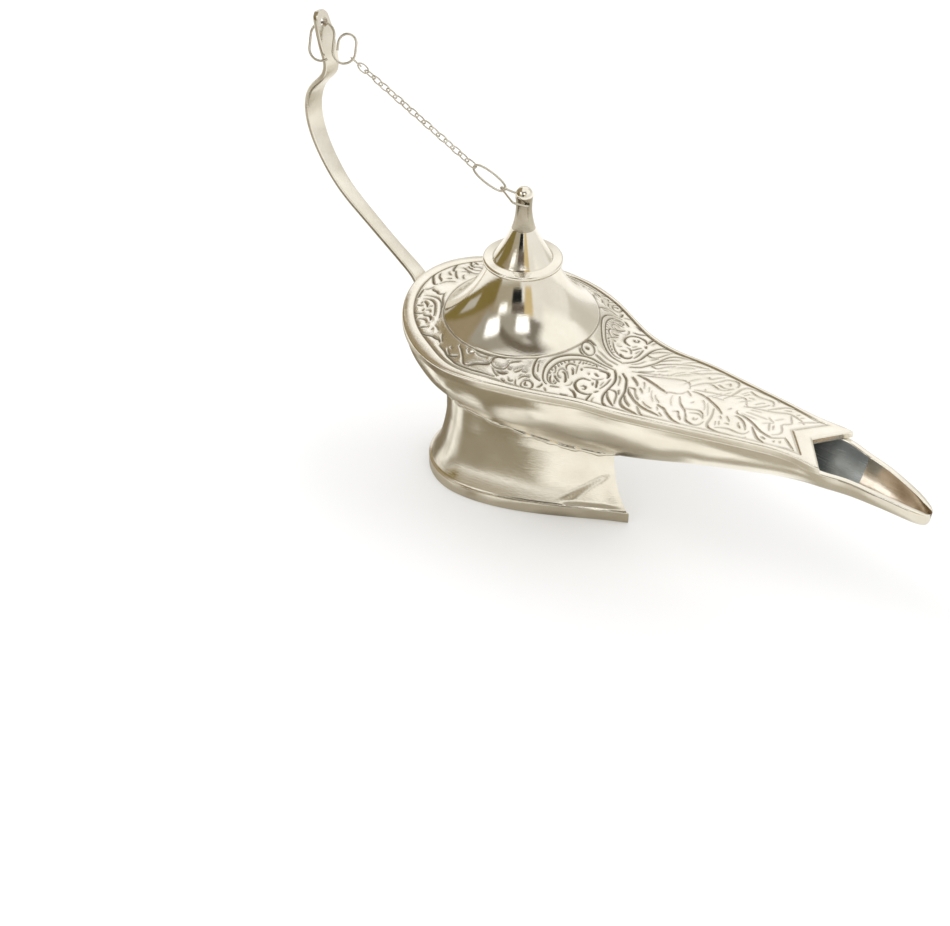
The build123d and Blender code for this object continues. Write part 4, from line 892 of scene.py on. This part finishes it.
def metal(name, light, dark, rough, wave, scratch, patina=None, bare=1.0):
    """Plated metal: clouded colour and gloss, a cast surface's slight waves and fine rubbing marks."""
    material = bpy.data.materials.new(name)
    material.use_nodes = True
    tree = material.node_tree
    shader = tree.nodes["Principled BSDF"]
    shader.inputs["Metallic"].default_value = bare
    place = node(tree, "TexCoord").outputs["Object"]
    stretch = node(tree, "Mapping", Scale=(90.0, 900.0, 1500.0), Rotation=(0.2, 0.3, 0.5))
    tree.links.new(place, stretch.inputs["Vector"])
    cloud = noise(tree, place, 70.0, 5.0, 0.6)
    grain = noise(tree, place, 900.0, 3.0, 0.6)
    swell = noise(tree, place, 38.0, 1.0, 0.4)
    rubbed = noise(tree, stretch.outputs["Vector"], 1.0, 4.0, 0.7)
    colour = mixed(tree, ramp(tree, cloud, 0.35, 0.65), dark, light)
    gloss = ramp(tree, rubbed, 0.3, 0.75, *rough)
    if patina:
        groove = node(tree, "Attribute")
        groove.attribute_name = "patina"
        colour = mixed(tree, groove.outputs["Fac"], colour, patina)
        gloss = maths(tree, "MULTIPLY_ADD", groove.outputs["Fac"], PATINA_ROUGHNESS, gloss)
    tree.links.new(colour, shader.inputs["Base Color"])
    tree.links.new(gloss, shader.inputs["Roughness"])
    normal = None
    bumps = ((swell, wave, SWELL_DEPTH), (rubbed, scratch, RUB_DEPTH), (grain, scratch, GRAIN_DEPTH))
    for height, strength, distance in bumps:
        bump = node(tree, "Bump", Strength=strength, Distance=distance)
        tree.links.new(height, bump.inputs["Height"])
        if normal is not None:
            tree.links.new(normal, bump.inputs["Normal"])
        normal = bump.outputs["Normal"]
    tree.links.new(normal, shader.inputs["Normal"])
    return material


polished = metal("polished_plate", (0.84, 0.81, 0.74), (0.77, 0.73, 0.65), (0.06, 0.13), 0.10, 0.15)
cast = metal("cast_plate", (0.86, 0.83, 0.76), (0.78, 0.74, 0.66), (0.10, 0.24), 0.22, 0.35)
chased = metal("chased_plate", (0.90, 0.87, 0.81), (0.83, 0.80, 0.72), (0.16, 0.30), 0.15, 0.5,
               patina=(0.24, 0.20, 0.14))
wire = metal("wire_plate", (0.74, 0.71, 0.64), (0.52, 0.48, 0.40), (0.12, 0.25), 0.10, 0.3)
steel = metal("fixing_steel", (0.62, 0.61, 0.60), (0.48, 0.47, 0.45), (0.22, 0.4), 0.10, 0.4)
worn = metal("worn_plate", (0.81, 0.78, 0.71), (0.69, 0.65, 0.57), (0.12, 0.28), 0.20, 0.4)
# A darker plate: painted shade on the handle's side edges, standing in for the dark reflection along them; a
# darker tone on the finial's neck
dark_and_shaded = metal("dark_and_shaded_plate", (0.48, 0.44, 0.36), (0.32, 0.28, 0.21), (0.10, 0.22), 0.25, 0.4)
sooty = metal("sooty_plate", (0.40, 0.42, 0.41), (0.27, 0.285, 0.28), (0.18, 0.32), 0.20, 0.3, bare=0.45)
burnt = metal("burnt_plate", (0.76, 0.69, 0.59), (0.52, 0.44, 0.35), (0.14, 0.26), 0.25, 0.3)

# Where each piece belongs and what it is made of
CASTING, WIRE = "plated_casting", "plated_wire"
FIXINGS = ("foot_bolt", "foot_washer", "foot_nut")
links = [f"chain_link_{i + 1:02d}" for i in range(LINKS)]
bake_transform(chain)
for piece, body, slot, nodes, finishes in (
        (hull, "lamp", CASTING, ["hull"], [cast, sooty, burnt]),
        (deck_rim, "lamp", CASTING, ["deck"], [cast]),
        (ornament, "lamp", CASTING, ["deck"], [chased]),
        (dome, "lamp", CASTING, ["deck"], [polished]),
        (foot, "lamp", CASTING, ["foot"], [cast]),
        (bead, "lamp", CASTING, ["foot"], [polished]),
        (handle, "lamp", CASTING, ["handle"], [worn, dark_and_shaded]),
        (hook, "lamp", WIRE, ["chain_hook"], [wire]),
        (chain, None, WIRE, links + ["chain_end_ring"], [wire]),
        (lid, "lid", CASTING, ["lid"], [polished, dark_and_shaded]),
        (lid_ring, "lid", WIRE, ["lid_ring"], [wire])):
    if body:
        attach(piece, body)
    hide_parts(*nodes)
    piece.data.materials.clear()
    for finish in finishes:
        piece.data.materials.append(finish)
for name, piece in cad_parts.items():
    piece.data.materials.clear()
    piece.data.materials.append(steel if name in FIXINGS else cast)
for i, face in enumerate(hull.data.polygons[:(len(hull_points) - 1) * hull_cols]):
    if inside_first <= i % hull_cols < inside_last:
        face.material_index = 1 if face.center.x < TROUGH_BURNT_X * MM else 2
# Painted shade: the strip's narrow side edges take the darker plate, standing in for the dark reflection
# along them
for face in handle.data.polygons:
    if abs(face.normal.y) > SHADED_EDGE_FACING and face.area < SHADED_EDGE_AREA:
        face.material_index = 1
# The finial's neck, up to just under the middle of its ball, takes the darker plate
for face in lid.data.polygons:
    if CONE_TOP < face.center.z / MM - DECK_HEIGHT < crown - FINIAL_EDGE:
        face.material_index = 1

# Floor: pale where it is seen; to the metal's mirror rays it is a table with a painted shadow under the lamp
# and painted rings and patches of shade and light
FLOOR_HALF, FLOOR_DROP, FLOOR_ROUGHNESS = 3000.0, 0.02, 0.9
FLOOR_TONES = (0.90, 0.90, 0.90), (0.93, 0.93, 0.93)
# The table's lengths are in metres, as its texture's are
TABLE_MIDDLE, TABLE_HALF, TABLE_WAVER = 0.002, 0.016, 0.045
# Painted shadow: the dark table tone under and round the lamp
TABLE_SHADOW_TONE = (0.12, 0.10, 0.07)
# Painted rings of shade and light round the lamp, seen only in the metal
LIGHT_AND_SHADE_RINGS = [
    (0.018, 0.028, (0.52, 0.48, 0.40)), (0.042, 0.052, (1.06, 1.04, 0.97)), (0.088, 0.10, (0.46, 0.42, 0.34)),
    (0.14, 0.16, (0.78, 0.75, 0.68)), (0.22, 0.30, (0.97, 0.95, 0.90)),
]
# Painted patches of shade on the table, seen only in the metal
SHADE_PATCHES = [
    (-0.03, -0.085, 0.03, 0.045, (0.29, 0.25, 0.17)), (-0.085, -0.135, 0.02, 0.055, (0.22, 0.18, 0.115)),
    (-0.088, 0.004, 0.018, 0.035, (0.22, 0.18, 0.115)), (-0.18, -0.135, 0.045, 0.05, (0.15, 0.12, 0.08)),
    (0.085, -0.004, 0.032, 0.014, (0.46, 0.42, 0.34)),
]
SHADE_PATCH_CORE = 0.67
floor_corners = ((-1, -1), (1, -1), (1, 1), (-1, 1))
floor_points = [(x * FLOOR_HALF, y * FLOOR_HALF, -FLOOR_DROP) for x, y in floor_corners]
floor = add_mesh("floor", floor_points, [(0, 1, 2, 3)], datum=0.0)
white = bpy.data.materials.new("floor_white")
white.use_nodes = True
ground = white.node_tree
white_shader = ground.nodes["Principled BSDF"]
white_shader.inputs["Roughness"].default_value = FLOOR_ROUGHNESS
ground_place = node(ground, "TexCoord").outputs["Object"]
ground_split = node(ground, "SeparateXYZ")
ground.links.new(ground_place, ground_split.inputs["Vector"])


def from_stretch(x, y, half):
    """Distance over the floor from a stretch of a line along X."""
    off_x = maths(ground, "ABSOLUTE", maths(ground, "SUBTRACT", ground_split.outputs["X"], x))
    off_x = maths(ground, "MAXIMUM", maths(ground, "SUBTRACT", off_x, half), 0.0)
    off_y = maths(ground, "SUBTRACT", ground_split.outputs["Y"], y)
    squares = maths(ground, "ADD", maths(ground, "POWER", off_x, 2.0), maths(ground, "POWER", off_y, 2.0))
    return maths(ground, "SQRT", squares)


def wavered(distance, texture, by):
    """Distance made uneven both ways."""
    return maths(ground, "MULTIPLY_ADD", texture, 2.0 * by, maths(ground, "SUBTRACT", distance, by))


drift = noise(ground, ground_place, 9.0, 3.0, 0.55)
ripple = noise(ground, ground_place, 48.0, 2.0, 0.5)
table_light_and_shade = TABLE_SHADOW_TONE
away = wavered(from_stretch(TABLE_MIDDLE, 0.0, TABLE_HALF), drift, TABLE_WAVER)
for start, end, tone in LIGHT_AND_SHADE_RINGS:
    table_light_and_shade = mixed(ground, ramp(ground, away, start, end), table_light_and_shade, tone)
for x, y, half, reach, tone in SHADE_PATCHES:
    gap = wavered(from_stretch(x, y, half), ripple, reach)
    table_light_and_shade = mixed(ground, ramp(ground, gap, reach, SHADE_PATCH_CORE * reach), table_light_and_shade, tone)
speckle = node(ground, "TexNoise", Scale=40.0, Detail=3.0)
pale = mixed(ground, speckle.outputs["Fac"], *FLOOR_TONES)
glance = node(ground, "LightPath")
# Mirror rays see the painted table of shadow, shade and light; other rays see the pale floor
shown = mixed(ground, glance.outputs["Is Glossy Ray"], pale, table_light_and_shade)
ground.links.new(shown, white_shader.inputs["Base Color"])
floor.data.materials.append(white)

# Surroundings: a plain sky, and for the metal a wall with far cards
# A card is its direction, half its width and height and its soft edge, all in degrees, then its colour
SKY_TONES = (0.86, 0.86, 0.86), (0.93, 0.93, 0.93)
SKY_LOW, SKY_HIGH = 0.05, 0.55
WALL = (0.96, 0.94, 0.89)
CARDS = [
    (126, 42, 68, 45, 16, (0.74, 0.71, 0.64)), (126, 80, 62, 24, 8, (1.12, 1.10, 1.05)),
    (126, 42, 32, 20, 10, (1.20, 1.18, 1.13)),
    (205, 41, 46, 25, 4, (0.36, 0.29, 0.18)), (204, 7, 40, 15, 2, (0.24, 0.18, 0.055)),
    (188, 10, 9, 5, 1, (0.55, 0.52, 0.45)), (268, 48, 40, 17, 4, (0.40, 0.37, 0.31)),
    (352, 50, 22, 11, 2, (0.24, 0.22, 0.18)), (320, 64, 40, 5, 2, (0.18, 0.15, 0.11)),
    (270, 16, 30, 13, 5, (0.45, 0.40, 0.30)), (292, 18, 12, 7, 1.5, (0.01, 0.012, 0.012)),
    (296, 29, 14, 4, 2, (0.14, 0.11, 0.085)), (321, 22, 9, 13, 2, (0.72, 0.57, 0.30)),
    (244, 41, 9, 7, 2.5, (2.2, 2.2, 2.2)), (307, 43, 10, 7, 2.5, (2.2, 2.2, 2.2)),
    (260, 27, 8, 4, 2, (1.6, 1.6, 1.55)), (22, 44, 24, 18, 6, (1.15, 1.13, 1.06)),
]
AHEAD_LEAST = 0.02
world = bpy.data.worlds.new("studio")
world.use_nodes = True
bpy.context.scene.world = world
sky = world.node_tree
background = sky.nodes["Background"]
toward = node(sky, "TexCoord").outputs["Generated"]
sky_split = node(sky, "SeparateXYZ")
sky.links.new(toward, sky_split.inputs["Vector"])


def between(source, limit, soft):
    """One where the size of a value is under a limit, and nothing past it."""
    return ramp(sky, maths(sky, "ABSOLUTE", source), limit + soft, limit - soft)


def along(way):
    """How far the view goes along a way."""
    dot = node(sky, "VectorMath")
    dot.operation = "DOT_PRODUCT"
    dot.inputs[1].default_value = way
    sky.links.new(toward, dot.inputs[0])
    return dot.outputs["Value"]


def card(under, azimuth, elevation, wide, high, soft, colour):
    """Colour with one card laid over what is under it."""
    a, e = math.radians(azimuth), math.radians(elevation)
    ahead = along((math.cos(e) * math.cos(a), math.cos(e) * math.sin(a), math.sin(e)))
    ahead = maths(sky, "MAXIMUM", ahead, AHEAD_LEAST)
    across = maths(sky, "DIVIDE", along((-math.sin(a), math.cos(a), 0.0)), ahead)
    above = along((-math.sin(e) * math.cos(a), -math.sin(e) * math.sin(a), math.cos(e)))
    above = maths(sky, "DIVIDE", above, ahead)
    wide, high, soft = (math.tan(math.radians(angle)) for angle in (wide, high, soft))
    share = maths(sky, "MULTIPLY", between(across, wide, soft), between(above, high, soft))
    return mixed(sky, share, under, colour)


mirrored = WALL
for far_card in CARDS:
    mirrored = card(mirrored, *far_card)
plain = mixed(sky, ramp(sky, sky_split.outputs["Z"], SKY_LOW, SKY_HIGH), *SKY_TONES)
gaze = node(sky, "LightPath")
sky.links.new(mixed(sky, gaze.outputs["Is Glossy Ray"], plain, mirrored), background.inputs["Color"])
background.inputs["Strength"].default_value = 1.0

# Light: two soft boxes, which the metal doesn't mirror
LIGHT_TARGET = (0.0, 0.0, 0.05)


def soft_box(name, location, size, power):
    """Area light that faces the lamp."""
    light = bpy.data.lights.new(name, "AREA")
    light.shape = "RECTANGLE"
    light.size, light.size_y = size
    light.energy = power
    obj = bpy.data.objects.new(name, light)
    bpy.context.scene.collection.objects.link(obj)
    obj.visible_glossy = False
    obj.location = location
    obj.rotation_euler = (Vector(LIGHT_TARGET) - Vector(location)).to_track_quat("-Z", "Y").to_euler()


soft_box("key", (-0.6, -0.5, 1.4), (0.7, 0.5), 6.0)
soft_box("fill", (0.8, 0.6, 1.2), (1.0, 1.0), 5.0)
bpy.context.scene.view_settings.view_transform = "Standard"
